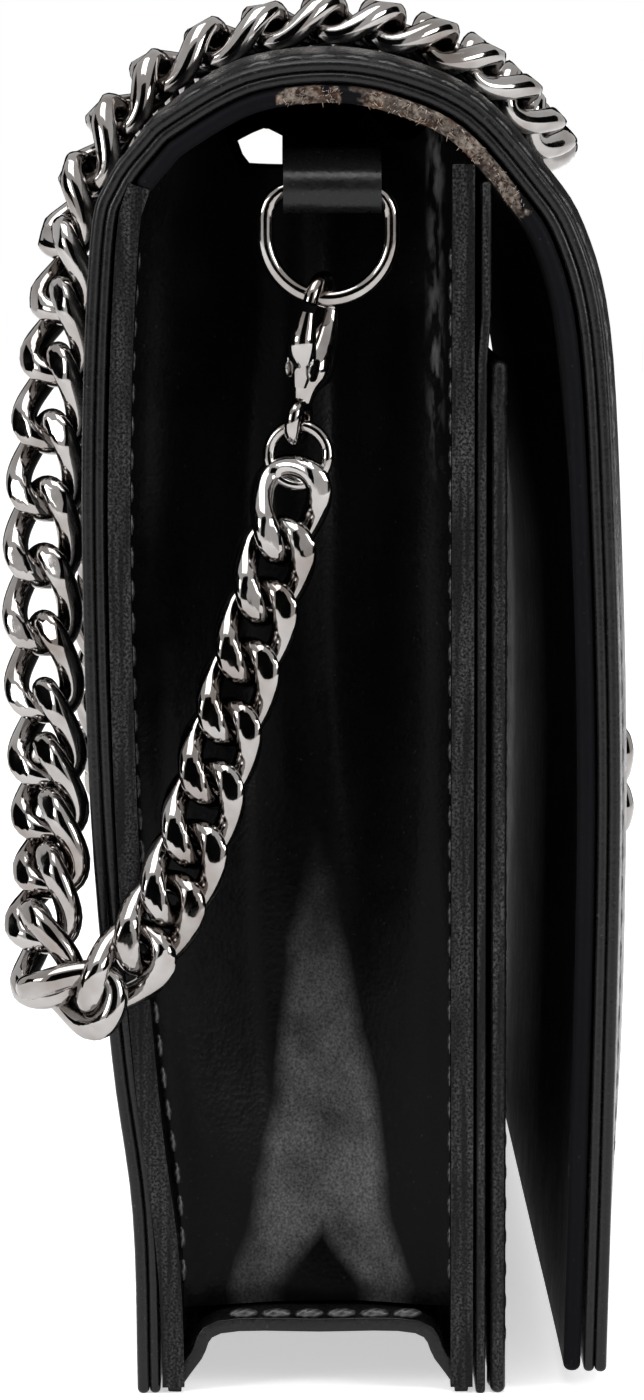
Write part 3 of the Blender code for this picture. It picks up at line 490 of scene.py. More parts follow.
def hand_over(thing, finish, body, nodes=(), angle=35, edge=None):
    """Applies everything, shades the piece, gives it its finish and any edge finish, parents it to its body and hides
    its CAD nodes.
    """
    apply_modifiers(thing)
    bpy.ops.object.transform_apply(location=True, rotation=True, scale=True)
    bpy.ops.object.shade_smooth_by_angle(angle=math.radians(angle))
    thing.data.materials.clear()
    thing.data.materials.append(finish.material)
    if edge:
        thing.data.materials.append(edge.material)
        for face in thing.data.polygons:
            at_end = abs(abs(face.center.x) - half_width) < end_band
            face.material_index = int(at_end and abs(face.normal.x) > end_facing)
    if body:
        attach(thing, body)
    if nodes:
        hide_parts(*nodes)
    return thing


def plated(thing, body, nodes=(), angle=60):
    """Hands over a piece of gunmetal."""
    return hand_over(thing, gunmetal, body, nodes, angle)


# %% [markdown]
# ## Leather panels
# A panel is cut flat and takes its bend when it is sewn. The same happens here: a plane is placed on the
# first step of an end-view line and its last edge is extruded along the rest. Bisect cuts add columns near
# the ends, Solidify gives the leather its thickness, and Bevel rounds the turned edges.


# %% Helpers for panels
def panel_along(name, line, reach):
    """A plane on the first step of an end-view line, its last edge extruded along the rest."""
    thing = added(name, bpy.ops.mesh.primitive_plane_add, size=2)
    with editing(thing):
        bpy.ops.mesh.select_all(action="DESELECT")
    for corner in thing.data.vertices:
        corner.select = corner.co.y > 0
        place = line[1] if corner.co.y > 0 else line[0]
        corner.co = (reach if corner.co.x > 0 else -reach, place.x, place.y)
    for edge in thing.data.edges:
        edge.select = all(thing.data.vertices[i].select for i in edge.vertices)
    with editing(thing, "EDGE", everything=False):
        for a, b in zip(line[1:], line[2:]):
            step = (0, b.x - a.x, b.y - a.y)
            bpy.ops.mesh.extrude_region_move(TRANSFORM_OT_translate={"value": step})
    return thing


def face_towards(thing, direction):
    """Makes an open panel's faces agree, the first one looking along a direction."""
    recalculated(thing)
    if thing.data.polygons[0].normal.dot(Vector(direction)) < 0:
        with editing(thing):
            bpy.ops.mesh.flip_normals()
    return thing


butt_gap, butt_reach = 0.0003, 0.010


def thicken(thing, thickness, bevel, side=-1.0, rounds=4, butt=None):
    """Solidify behind the face, then rounded edges, but none where the piece butts against its neighbour."""
    wall = thing.modifiers.new("thickness", "SOLIDIFY")
    wall.thickness, wall.offset, wall.use_even_offset = thickness, side, True
    apply_modifiers(thing)
    shape = bmesh.new()
    shape.from_mesh(thing.data)
    turned = shape.edges.layers.float.new("bevel_weight_edge")
    for edge in shape.edges:
        sharp = len(edge.link_faces) == 2 and edge.calc_face_angle(0) > math.radians(50)
        joins = butt is not None and all(abs((v.co.yz - butt[0]).dot(butt[1])) < butt_gap and
                                         (v.co.yz - butt[0]).length < butt_reach for v in edge.verts)
        edge[turned] = float(sharp and not joins)
    shape.to_mesh(thing.data)
    shape.free()
    return softened(thing, bevel, rounds, "WEIGHT")


def panel(name, line, reach, facing, thickness, bevel, columns=(), shift=None, turned=(), **edges):
    """A whole panel: laid along its line, cut into columns, shaped, turned, thickened and rounded."""
    thing = panel_along(name, line, reach)
    with editing(thing):
        for x in columns:
            bpy.ops.mesh.select_all(action="SELECT")
            bpy.ops.mesh.bisect(plane_co=(x, 0, 0), plane_no=(1, 0, 0))
    if shift:
        for corner in thing.data.vertices:
            corner.co += Vector(shift(corner.co))
    moved(thing, *turned)
    face_towards(thing, facing)
    return thicken(thing, thickness, bevel, **edges)


def inset_line(path, normals, depth):
    """A line at a depth behind another."""
    return [point - normal * depth for point, normal in zip(path, normals)]


def ladder(path, low, high, steps):
    """The points of a rising line at even levels."""
    return [at_level(path, low + (high - low) * i / steps) for i in range(steps + 1)]


def upright(y, low, high, steps):
    """Points of a straight upright line, at even levels."""
    return [Vector((y, low + (high - low) * i / steps)) for i in range(steps + 1)]


def groove(distance, width):
    """The depth share of a sewn channel at a distance from its middle."""
    return math.exp(-(distance / width) ** 2)


seam_inset, seam_depth, seam_width = 0.0036, 0.00028, 0.0006
column_insets = [0.0012, 0.0024, 0.0030, 0.0036, 0.0042, 0.0050, 0.0070, 0.011, 0.018, 0.030, 0.050, 0.078]


def both_ends(insets):
    """The columns at some distances from each end."""
    return [side * (half_width - inset) for inset in insets for side in (-1, 1)]


def sagging(x_share, point):
    """Lift of the flap's inner leather, which hangs off the skin but stays up over the zip's pull."""
    foot, full = (0.118, 0.130) if point.x > y_shift else (0.080, 0.112)
    middle = 1 - eased((abs(x_share) - 0.25) / 0.15)
    past_pull = eased((abs(x_share + 0.64) - 0.16) / 0.12)
    forward = eased((y_shift - 0.0040 - point.x) / 0.0080) * past_pull
    loose = middle + (1 - x_share ** 4 - middle) * forward
    slack = (0.0027 - 0.0015 * eased((point.x - 0.0068) / 0.003)) * eased((point.y - foot) / (full - foot))
    return crown(x_share, point) * (1 - loose) - slack * loose


def skin_panel(name, line, normals, inset, thickness, bevel, reach=half_width, seam=seam_depth, butt=None,
               lift=crown):
    """A crowned layer of the skin with a sewn channel near its ends."""
    path = inset_line(line, normals, inset)

    def shift(place):
        i = min(range(len(path)), key=lambda k: (path[k] - Vector(place.yz)).length_squared)
        channel = seam * groove(half_width - abs(place.x) - seam_inset, seam_width)
        rise = normals[i] * (lift(place.x / half_width, line[i]) - channel)
        return 0.0, rise.x, rise.y

    return panel(name, path, reach, (0, *normals[0]), thickness, bevel, both_ends(column_insets) + [0], shift,
                 butt=butt)


print("columns at", [round(v * 1000, 1) for v in column_insets], "mm from each end")

# %% [markdown]
# ## Stitches
# Saddle stitches are short thread beads in a shallow channel, 3.4 mm apart. One is modelled from
# a sphere and copied along each seam. The copies share nothing, and one seam is one piece.


# %% Helpers for stitches
def stitch_model(length, radius):
    """One stitch, lying along X."""
    thing = added("stitch_model", bpy.ops.mesh.primitive_uv_sphere_add, segments=8, ring_count=5, radius=1)
    return moved(thing, turn_y, Matrix.Diagonal((length / 2, radius, radius * 0.8, 1)))


def linked(name, data):
    """A new object in the scene."""
    thing = bpy.data.objects.new(name, data)
    bpy.context.scene.collection.objects.link(thing)
    return thing


def repeated(name, model, places):
    """Copies a model to many placements, as one piece; the model is used up."""
    shape = bmesh.new()
    for place in places:
        copy = model.data.copy()
        copy.transform(place)
        shape.from_mesh(copy)
        bpy.data.meshes.remove(copy)
    mesh = bpy.data.meshes.new(name)
    shape.to_mesh(mesh)
    shape.free()
    bpy.data.objects.remove(model)
    return linked(name, mesh)


def framed(place, along, up):
    """A placement with X along a direction and Z near another."""
    along = along.normalized()
    across = up.cross(along).normalized()
    up = along.cross(across)
    return Matrix.Translation(place) @ Matrix((along, across, up)).transposed().to_4x4()


def seam_places(points, ups, pitch=0.0034, tilt=0.12):
    """Placements at a pitch along a line of points, each with its surface's direction."""
    places, left = [], pitch / 2
    for (a, b), up in zip(zip(points, points[1:]), ups):
        step = (b - a).length
        while left <= step:
            turned = Matrix.Rotation(tilt, 4, "Z")
            places.append(framed(a.lerp(b, left / step), b - a, up) @ turned)
            left += pitch
        left -= step
    return places


def seam(name, lines, body, length=0.0026, radius=0.00038):
    """Stitches along several lines, as one piece."""
    places = [place for points, ups in lines for place in seam_places(points, ups)]
    thing = repeated(name, stitch_model(length, radius), places)
    print(name, len(places), "stitches")
    return hand_over(thing, thread, body, angle=60)


def flat_line(points, up):
    """Points of a seam that all look one way."""
    points = [Vector(point) for point in points]
    return points, [Vector(up)] * len(points)


def skin_seam_lines(line, normals, inset, low=0, high=None, out=1):
    """The two end seams of a skin layer at a depth, from one point of its line to another."""
    lines = []
    for x in both_ends([seam_inset]):
        points, ups = [], []
        for point, normal in list(zip(line, normals))[low:high]:
            place = point + normal * (crown(x / half_width, point) - inset)
            points.append(Vector((x, place.x, place.y)))
            ups.append(Vector((0, normal.x, normal.y)) * out)
        lines.append((points, ups))
    return lines


foot_stitches = [x * 0.001 for x in range(-108, 109, 4)]
print("stitches over", round(foot_stitches[-1] * 2000), "mm of the width")


# %% [markdown]
# ## Back, top and flap
# The skin is one wide piece of calf over a backing: it climbs the back, bends over the top and hangs down
# the front. Only its bend deforms when the flap opens, so the layers are made in two lengths that butt
# together on the crest. The first is not parented to anything, and the second rides the flap.

# %% Helper for the pieces over the flap's bend
crest = 9 * fine_steps
crest_joint = (skin[crest], Vector((-skin_out[crest].y, skin_out[crest].x)))


def bends(thing):
    """Bakes a piece's placement into its mesh."""
    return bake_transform(thing)


# %% Outer skin and its backing
outer_layer, inner_layer = 0.00125, 0.00113
layers = (("skin", 0.0, outer_layer, 0.00055, half_width, seam_depth),
          ("backing", outer_layer + 0.00002, inner_layer, 0.00050, half_width - 0.00015, 0.0))
halves = (("back", slice(0, crest + 1), None, "back_panel"), ("flap", slice(crest, None), "flap", "flap"))
for name, *layer in layers:
    for half, stretch, body, node in halves:
        piece = skin_panel(half + "_" + name, skin[stretch], skin_out[stretch], *layer, crest_joint)
        hand_over(piece, black_calf, body, [node] if name == "skin" else [])
        if not body:
            bends(piece)
        print(piece.name, len(piece.data.polygons), "faces")

# %% Inner leather of the flap
for name, low, high, body, nodes in (("bend", hinge + 1, crest + 1, None, ()),
                                     ("inside", crest, None, "flap", ["flap_lining"])):
    inside = skin_panel("flap_" + name, skin[low:high], skin_out[low:high], skin_thickness + seat_gap,
                        flap_lining_thickness, 0.00080, seam=0.0, butt=crest_joint, lift=sagging)
    hand_over(inside, lining_leather, body, nodes)
    if not body:
        bends(inside)
print("inner leather starts", round(skin[hinge + 1].y * 1000, 1), "mm up")

# %% Stitches of the skin
seam_sink = seam_depth - 0.00008
back_seam = seam("back_stitches", skin_seam_lines(skin, skin_out, seam_sink, 2, crest - 1), None)
bends(back_seam)
outside = skin_seam_lines(skin, skin_out, seam_sink, crest, -4)
foot = [point - normal * (seam_depth - 0.0002) for point, normal in zip(skin, skin_out)][-5]
outside.append(flat_line([(x, foot.x, foot.y) for x in foot_stitches], (0, -1, 0)))
seam("flap_stitches", outside, "flap")
inner_depth = skin_thickness + seat_gap + flap_lining_thickness
seam("flap_inside_stitches", skin_seam_lines(skin, skin_out, inner_depth - 0.0001, crest + 30, -4, -1), "flap")

# %% [markdown]
# ## Folded ends
# A gusset is one piece of leather: a flange sewn to the back panel, a deep fold towards the inside, and a
# flange sewn to the front. A grid is laid over it, and each row is pushed onto the fold at its level. The
# fold is deep at the top and almost flat at the bottom.

# %% Gussets
base_height, base_thickness, flange_width = 0.0058, 0.0020, 0.0070
gusset_foot, gusset_top, table_gap = base_height + base_thickness + seat_gap, 0.900 * bag_height, 0.0007
flange_line = inset_line(back_line, back_out, skin_thickness + seat_gap + gusset_thickness / 2)
front_face_y, front_thickness, pocket_thickness = -0.0177 + y_shift, 0.0010, 0.0018
front_flange_y = front_face_y + front_thickness + seat_gap + gusset_thickness / 2
flange_share, deep_fold, shallow_fold = 0.07, 0.0150, 0.0040
half_fold = [(0.045, 0.10), (0.12, 0.25), (0.23, 0.56), (0.34, 0.86), (0.42, 0.96)]
fold = half_fold + [(0.5, 1.0)] + [(1 - across, inward) for across, inward in reversed(half_fold)]
lip = (0.0, 0.35, 0.75, 0.94)


def fold_plan(share, level):
    """The gusset's line seen from above at one level: how far inwards, and how far across."""
    depth = shallow_fold + (deep_fold - shallow_fold) * share
    back_y = at_level(flange_line, level).x
    plan = [(reach * flange_width, 0.0) for reach in lip]
    plan += [(flange_width + inward * depth, across) for across, inward in fold]
    plan += [(reach * flange_width, 1.0) for reach in reversed(lip)]
    points = [Vector((inward, back_y + across * (front_flange_y - back_y))) for inward, across in plan]
    return smooth_path(points, 4)


def hump(across, start, rise, end, fall):
    """A share that rises from one place across and falls at another."""
    return eased((across - start) / rise) * (1 - eased((across - end) / fall))


def tongue(across):
    """How far the surplus leather of the fold stands up above its top edge."""
    crumple = 0.0009 * math.sin(across * 60)
    return (hump(across, 0.10, 0.05, 0.62, 0.06) * 0.0046 + hump(across, 0.23, 0.03, 0.335, 0.02) * 0.0036
            + hump(across, 0.60, 0.06, 0.84, 0.05) * (0.0078 + crumple))


def folded_place(side, share, across, inward, y):
    """The place of one point of a gusset, at a share of its height and of the way across."""
    arch = math.sin(math.pi * across)
    dip = arch * 0.0019 * share - tongue(across) * max(0.0, share * 10 - 9) ** 2
    sag = 0.0005 * math.sin(share * 17 + across * 9) * arch ** 2 * (1 - share * 0.5)
    past_flange = max(0.0, min(across, 1 - across) - flange_share)
    foot = table_gap + (gusset_foot - table_gap) * eased(past_flange / 0.10)
    rise = 0.0009 * (1 - eased((across - 0.02) / 0.06)) + 0.0032 * eased((across - 0.93) / 0.05)
    return side * (half_width - inward - sag), y, foot + share * (gusset_top + rise - foot) - dip


def folded_end(name, side):
    """One gusset, from a grid whose columns run along the fold and whose rows climb it."""
    columns, rows = len(fold_plan(0, gusset_foot)) - 1, 44
    thing = added(name, bpy.ops.mesh.primitive_grid_add, x_subdivisions=columns, y_subdivisions=rows, size=2)
    plans = [fold_plan(row / rows, gusset_foot + row / rows * (gusset_top - gusset_foot)) for row in range(rows + 1)]
    for corner in thing.data.vertices:
        column, row = round((corner.co.x + 1) / 2 * columns), round((corner.co.y + 1) / 2 * rows)
        corner.co = folded_place(side, row / rows, column / columns, *plans[row][column])
    face_towards(thing, (0, -1, 0))
    return thicken(thing, gusset_thickness, 0.0010, side=0.0)


ends = (("near", -1), ("far", 1))
for prefix, side in ends:
    end = folded_end(prefix + "_gusset_fold", side)
    hand_over(end, gusset_calf, "bag", [prefix + "_gusset"], edge=cut_edge)
    print(end.name, len(end.data.polygons), "faces")

# %% Gusset stitches
seams = []
levels = [0.0105 + i * 0.0040 for i in range(28)]
sunk = gusset_thickness / 2 - 0.0001
for x in both_ends([0.0050]):
    seams.append(flat_line([(x, at_level(flange_line, z).x - sunk, z) for z in levels], (0, -1, 0)))
    seams.append(flat_line([(x, front_flange_y + sunk, z) for z in levels], (0, 1, 0)))
seam("gusset_stitches", seams, "bag", length=0.0025, radius=0.00045)

# %% [markdown]
# ## Bottom
# The bottom is raised between the two panels and its flanges come down to the table with them. Six large
# stitches hold it to each gusset.

# %% Base panel
middle, back_foot = base_height + base_thickness / 2, at_level(flange_line, 0.0).x
foot_steps = ((0.0, 0.0), (0.0002, 0.0010), (0.0022, 0.0038), (0.0046, middle))
corners = [(back_foot - inward, z) for inward, z in foot_steps] + [(0.0028, middle + 0.0002)]
corners += [(front_flange_y + inward, z) for inward, z in reversed(foot_steps)]
base = panel("base_panel_skin", smooth_path([Vector(c) for c in corners], 4), half_width - 0.0012, (0, 1, 0),
             base_thickness - 0.0006, 0.0006, side=0.0)
hand_over(base, black_calf, "bag", ["base_panel"])
stitch_level = base_height + base_thickness + 0.0003
seams = [flat_line([(x, y * 0.001, stitch_level) for y in range(-8, 15)], (0, 0, 1)) for x in both_ends([0.0020])]
seam("base_stitches", seams, "bag", length=0.0032, radius=0.0007)

# %% [markdown]
# ## Front
# A thin front panel closes the bag, and a slip pocket with a turned mouth stands in front of it. The front
# panel steps out above the pocket's mouth, because there the pocket no longer presses it back.


# %% Front panel and slip pocket
step_level, step_rise = 0.775 * bag_height, 0.0050
mouth, mouth_seam = 0.777 * bag_height, 0.777 * bag_height - 0.0045
pocket_y = front_face_y - seat_gap - pocket_thickness


def front_outer(level):
    """Outer face of the front panel at a level."""
    return front_face_y - 0.0004 * min(1.0, max(0.0, (level - step_level) / step_rise))


def pocket_channels(place):
    """The channels that the pocket's seams press into it."""
    ends = groove(half_width - abs(place.x) - seam_inset, seam_width)
    return 0.0, 0.0002 * (ends + groove(place.z - mouth_seam, 0.0008)), 0.0


levels = [0.0, 0.0350, 0.0700, 0.1000, step_level, step_level + step_rise / 2, step_level + step_rise, 0.1180,
          0.893 * bag_height + 0.0024]
front = panel("front_panel_skin", [Vector((front_outer(z), z)) for z in levels], half_width, (0, -1, 0),
              front_thickness, 0.00035)
levels = [0.0, 0.0020, 0.0400, 0.0800] + [mouth - below for below in (0.0060, 0.0045, 0.0030, 0.0010, 0.0)]
pocket = panel("front_pocket_skin", [Vector((pocket_y, z)) for z in levels], half_width, (0, -1, 0),
               pocket_thickness - 0.0002, 0.00075, both_ends(column_insets[:7]), pocket_channels)
for piece, node in ((front, "front_panel"), (pocket, "front_pocket")):
    hand_over(piece, black_calf, "bag", [node], edge=cut_edge)
stitch_y = pocket_y + 0.0001
seams = [flat_line([(x, stitch_y, 0.004 + i * 0.004) for i in range(25)], (0, -1, 0)) for x in both_ends([seam_inset])]
seams.append(flat_line([(x, stitch_y, mouth_seam) for x in foot_stitches], (0, -1, 0)))
seam("pocket_stitches", seams, "bag")

# %% [markdown]
# ## Inside
# Inside there is a textile lining, three card slots on the back wall and a zip pocket in the middle. Almost
# none of it shows in the photograph, but it shows when the flap opens. The lining is one cloth, laid down
# the back, along the floor and up the front.

# %% Lining
behind_skin, lining_thickness = skin_thickness + seat_gap, 0.0006
floor_level, lining_top = gusset_foot + lining_thickness / 2, 0.885 * bag_height
wall = inset_line(back_line, back_out, behind_skin + lining_thickness / 2)
front_wall = front_face_y + front_thickness + seat_gap + lining_thickness / 2
path = list(reversed(ladder(wall, floor_level, lining_top, 14)))
path += [Vector((path[-1].x + (front_wall - path[-1].x) * i / 6, floor_level)) for i in range(1, 7)]
path += upright(front_wall, floor_level, lining_top, 14)[1:]
reach = half_width - flange_width - 0.0040 - gusset_thickness / 2 - seat_gap


def slack_cloth(place):
    """The cloth stands off its walls a little here and there, but not along its edges or on the floor."""
    if abs(place.x) >= reach - 0.001 or place.z <= floor_level + 0.004:
        return 0.0, 0.0, 0.0
    inwards = -1 if place.y > y_shift else 1
    return 0.0, inwards * 0.00012 * (0.5 + 0.5 * math.sin(place.x * 110 + place.z * 60)), 0.0


lining = panel("lining_cloth", path, reach, (0, -1, 0), lining_thickness, 0.00015,
               [reach * (i - 10) / 10 for i in range(1, 20)], slack_cloth, side=0.0, rounds=2)
hand_over(lining, textile, "bag", ["lining"])

# %% Card slots
card_thickness = 0.0008
for order, (name, share) in enumerate((("top", 0.72), ("mid", 0.63), ("low", 0.54))):
    depth = behind_skin + lining_thickness + seat_gap + (card_thickness + seat_gap) * order + card_thickness / 2
    top = share * bag_height
    path = ladder(inset_line(back_line, back_out, depth), 0.030, top, 12)
    card = panel("card_slot_%s_skin" % name, path, 0.090, (0, -1, 0), card_thickness, 0.00028, [-0.088, 0, 0.088],
                 lambda place: (0, 0, 0.0003 * math.cos(place.x * 900) if place.z > top - 0.004 else 0), side=0.0)
    hand_over(card, lining_leather, "bag", ["card_slot_" + name])
    print(card.name, "up to", round(top * 1000), "mm")

# %% [markdown]
# ## Zip pocket
# Two leather walls hang in the middle and each carries a tape. The teeth mesh between the tapes and the
# slider straddles them. A tooth is one bevelled block, copied every 1.2 mm on alternate sides.

# %% Zip pocket walls and tapes
divider_top = 0.902 * bag_height
divider_y = (at_level(flange_line, divider_top).x + front_flange_y) / 2
foot_level = gusset_foot + lining_thickness + seat_gap + 0.0012
tape_level = divider_top + seat_gap + 0.0002
for name, side in (("back", 1), ("front", -1)):
    wall = panel("divider_%s_skin" % name, upright(divider_y + side * 0.0016, foot_level, divider_top, 8), 0.0860,
                 (0, side, 0), 0.0010, 0.00035, [-0.083, 0, 0.083], side=0.0)
    hand_over(wall, lining_leather, "bag", ["divider_%s_wall" % name])
    tape_line = [Vector((divider_y + side * y, tape_level)) for y in (0.00055, 0.0012, 0.0020, 0.00285)]
    tape = panel("zip_tape_%s_cloth" % name, tape_line, 0.0810, (0, 0, 1), 0.0004, 0.0001, side=0.0, rounds=2)
    hand_over(tape, textile, "bag", ["zip_tape_" + name])
print("zip pocket top at", round(divider_top * 1000, 1), "mm")

# %% Zip teeth, slider and pull
def moulded(name, low, high, bevel, rounds=3):
    """A cube stretched between two corners, with rounded edges."""
    thing = added(name, bpy.ops.mesh.primitive_cube_add, size=1)
    moved(thing, Matrix.Diagonal((*(high - low), 1)), Matrix.Translation((low + high) / 2))
    return softened(thing, bevel, rounds)


half_tooth = Vector((0.00075, 0.0014, 0.0008)) / 2
tooth_count, tooth_pitch, tooth_start, tooth_offset = 134, 0.0012, -0.0800, 0.0003
places = []
for i in range(tooth_count):
    y = divider_y + (tooth_offset if i % 2 else -tooth_offset)
    places.append(Matrix.Translation((tooth_start + i * tooth_pitch, y, divider_top + 0.00105)))
teeth = repeated("zip_teeth", moulded("tooth_model", -half_tooth, half_tooth, 0.00018, 1), places)
plated(teeth, "bag", angle=35)
print("zip has", len(places), "teeth")

low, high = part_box("zip_slider")
slider_wall = 0.0006
slider = joined("zip_slider_body", [
    moulded("slider_roof", Vector((low.x, low.y, high.z - slider_wall)), high, 0.00028),
    moulded("slider_cheek", low, Vector((high.x, low.y + slider_wall, high.z)), 0.0002),
    moulded("slider_cheek", Vector((low.x, high.y - slider_wall, low.z)), high, 0.0002)])
plated(slider, "zip_slider", ["zip_slider"], 35)
low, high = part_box("zip_pull")
pull = moulded("zip_pull_plate", low, high, 0.00035)
with editing(pull):
    bpy.ops.mesh.subdivide(number_cuts=2)
for corner in pull.data.vertices:
    share = (corner.co.x - low.x) / (high.x - low.x)
    waist = 0.62 + 0.38 * abs(2 * share - 0.9) ** 0.8
    corner.co.y = (low.y + high.y) / 2 + (corner.co.y - (low.y + high.y) / 2) * min(1.0, waist)
plated(pull, "zip_pull", ["zip_pull"], 35)

# %% [markdown]
# ## Snap
# A snap closes the flap: a stud on the pocket, and a socket on the flap's inside. The socket is a turned
# disc, so a cylinder is inset and stepped. The stud is the CAD's own, in black enamel.


# %% Snap
def turned_disc(name, node, depth):
    """A disc with a stepped face, from a cylinder whose face is inset and moved."""
    low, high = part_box(node)
    middle = (low + high) / 2
    thing = added(name, bpy.ops.mesh.primitive_cylinder_add, vertices=40, radius=(high.x - low.x) / 2, depth=depth)
    moved(thing, turn_x, Matrix.Translation((middle.x, low.y + depth / 2, middle.z)))
    for face in thing.data.polygons:
        face.select = len(face.vertices) > 4 and face.normal.y > 0
    with editing(thing, everything=False):
        bpy.ops.mesh.inset(thickness=0.0008)
        bpy.ops.mesh.inset(thickness=0.0012, depth=-0.0002)
        bpy.ops.mesh.inset(thickness=0.0020)
    return softened(thing, 0.00018, 2)


low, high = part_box("snap_socket")
hand_over(turned_disc("snap_socket_disc", "snap_socket", high.y - low.y), black_enamel, "flap", ["snap_socket"])
low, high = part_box("snap_stud")
for holder in bpy.data.objects["snap_stud"].material_slots:
    holder.material = black_enamel.material
print("snap stud sticks out", round((high.y - low.y) * 1000, 2), "mm")

# %% [markdown]
# ## Wire, rings and clasp
# Rings are bent from wire, so each is a curve with a round bevel, turned into a mesh. The clasp is cast: its
# claw is thick at the back and thin at the tip, which the curve's radius gives point by point.


# %% Helper for wire
def wire(name, points, radii, sides=16, closed=False):
    """A round rod along points, thick or thin as the radii say."""
    curve = bpy.data.curves.new(name, "CURVE")
    curve.dimensions = "3D"
    curve.bevel_depth = 1.0
    curve.bevel_resolution = sides // 2 - 2
    curve.use_fill_caps = not closed
    spline = curve.splines.new("POLY")
    spline.points.add(len(points) - 1)
    spline.use_cyclic_u = closed
    for i, point in enumerate(points):
        spline.points[i].co = (*point, 1.0)
        spline.points[i].radius = radii[i] if isinstance(radii, list) else radii
    thing = alone(linked(name, curve))
    bpy.ops.object.convert(target="MESH")
    with editing(thing, "VERT"):
        bpy.ops.mesh.remove_doubles(threshold=0.000002)
        bpy.ops.mesh.normals_make_consistent(inside=False)
    return thing


def arc(centre, radius, start, end, steps):
    """Points of an arc in a plane."""
    angles = [start + (end - start) * i / steps for i in range(steps + 1)]
    return [centre + Vector((math.cos(a), math.sin(a))) * radius for a in angles]


def tapered(name, points, radii, steps=5, sides=16):
    """A rod through a few points with its own thickness at each, smoothed."""
    path = smooth_path([Vector((*p, r)) for p, r in zip(points, radii)], steps)
    path = [p for p in path if p[3] > 0]
    return wire(name, [Vector(p[:3]) for p in path], [p[3] for p in path], sides)


# %% D-rings
ring_wire, ring_width, ring_height, ring_corner, ring_inset = 0.0016, 0.0146, 0.0129, 0.0030, 0.0032
ring_y, ring_bar = -0.0014 + y_shift, 0.905 * bag_height
ring_reach = ring_width / 2 - ring_wire / 2
flat = arc(Vector((ring_y, ring_bar - (ring_height - ring_wire) + ring_reach)), ring_reach, math.pi, 2 * math.pi, 32)
for hand, start in ((1, 0), (-1, quarter)):
    corner = Vector((ring_y + hand * (ring_reach - ring_corner), ring_bar - ring_corner))
    flat += arc(corner, ring_corner, start, start + quarter, 6)
for prefix, side in ends:
    points = [Vector((side * (half_width - ring_inset), p.x, p.y)) for p in flat]
    ring = plated(wire(prefix + "_d_ring", points, ring_wire / 2 + 0.00008, closed=True), prefix + "_ring",
                  [prefix + "_ring"], 80)
    print(ring.name, len(ring.data.polygons), "faces")

# %% [markdown]
# ## Tabs
# Each ring hangs in a leather tab that comes out of the bag over the gusset, goes round the ring's straight
# bar and back under itself. It is a strap, so it is made as a panel and then turned to run along X.


# %% Tabs
tab_thickness, tab_reach, tab_bend = 0.0014, 0.00505, 0.0035


def tab_path():
    """The strap's line from the inside of the bag round the bar, as (outwards, up)."""
    wrap = ring_wire / 2 + seat_gap + tab_thickness / 2
    bar = Vector((half_width - ring_inset, ring_bar))
    top, tail = ring_bar + 0.0054, 0.0860 + seat_gap * 2 + tab_thickness / 2
    path = [Vector((tail, top - 0.0180)), Vector((tail, top - 0.0100))]
    path += arc(Vector((tail + tab_bend, top - tab_bend)), tab_bend, math.pi, quarter, 8)
    path += [Vector((bar.x - tab_bend * 2, top - wrap)), Vector((bar.x - tab_bend, top - wrap * 1.15))]
    path += arc(bar, wrap, math.radians(60), -math.pi, 14)
    return path + [Vector((bar.x - tab_bend, ring_bar - seat_gap))]


for prefix, side in ends:
    across_bag = (Matrix.Rotation(-side * quarter, 4, "Z"), Matrix.Translation((0, -0.0018 + y_shift, 0)))
    tab = panel(prefix + "_tab_strap", tab_path(), tab_reach, (-side, 0, 0), tab_thickness, 0.0004,
                [-0.0040, 0.0, 0.0040], turned=across_bag, side=0.0)
    hand_over(tab, black_calf, "bag", [prefix + "_tab"])
    print(tab.name, [round(v * 1000, 1) for v in tab.dimensions], "mm")

# %% [markdown]
# ## Lobster clasps
# The clasp hangs from the ring, seen edge-on. Its claw curls over the ring, a sprung lever closes the gap,
# and a base loop holds the jump ring that carries the chain.


# %% Clasp measures
class Clasp:
    """The clasp's own directions at one end: out, up and through its thickness."""

    def __init__(self, prefix, side):
        joints = {joint["name"]: joint for joint in frame["record"]["behaviour"]["joints"]}
        self.grip = Vector(joints[prefix + "_clasp_swing"]["pos_m"])
        lean, turn = math.radians(10), math.radians(20)
        self.up = Vector((0, -math.sin(lean), math.cos(lean)))
        out = Vector((side, 0, 0))
        out.rotate(Matrix.Rotation(-turn, 3, self.up))
        self.out = out.normalized()
        self.thick = self.up.cross(self.out).normalized()
        self.middle = self.grip - self.up * 0.00105

    def at(self, out, up, thick=0.0):
        """A point by hook radius out, up and through."""
        return self.middle + (self.out * out + self.up * up + self.thick * thick) * hook_radius


hook_radius, claw_radius, lever_radius, rivet_radius = 0.0030, 0.0024, 0.00072, 0.0004
claw_shares = [(0.0, -3.25, 0.45), (0.0, -2.8, 0.60), (-0.13, -2.35, 0.92), (-0.40, -1.95, 1.0),
               (-0.75, -1.3, 0.90), (-0.97, -0.6, 0.72)]
lever_shares = [(0.55, -2.75, 1.0), (0.66, -1.95, 1.9), (1.05, -1.35, 2.1), (1.06, -0.85, 1.8), (1.03, -0.18, 1.2)]
ear_shares = [(-0.0018, 0.0009), (-0.0009, 0.0011), (0.0, 0.0012), (0.0009, 0.0012), (0.0016, 0.0009),
              (0.0020, 0.0004)]
rivet_shares = [(1.0, 0.2), (0.97, 1.1), (0.85, 1.35), (0.78, 1.2), (0.7, 1.0)]
clasps = {prefix: Clasp(prefix, side) for prefix, side in ends}
print("near clasp grips at", [round(v * 1000, 1) for v in clasps["near"].grip], "mm")


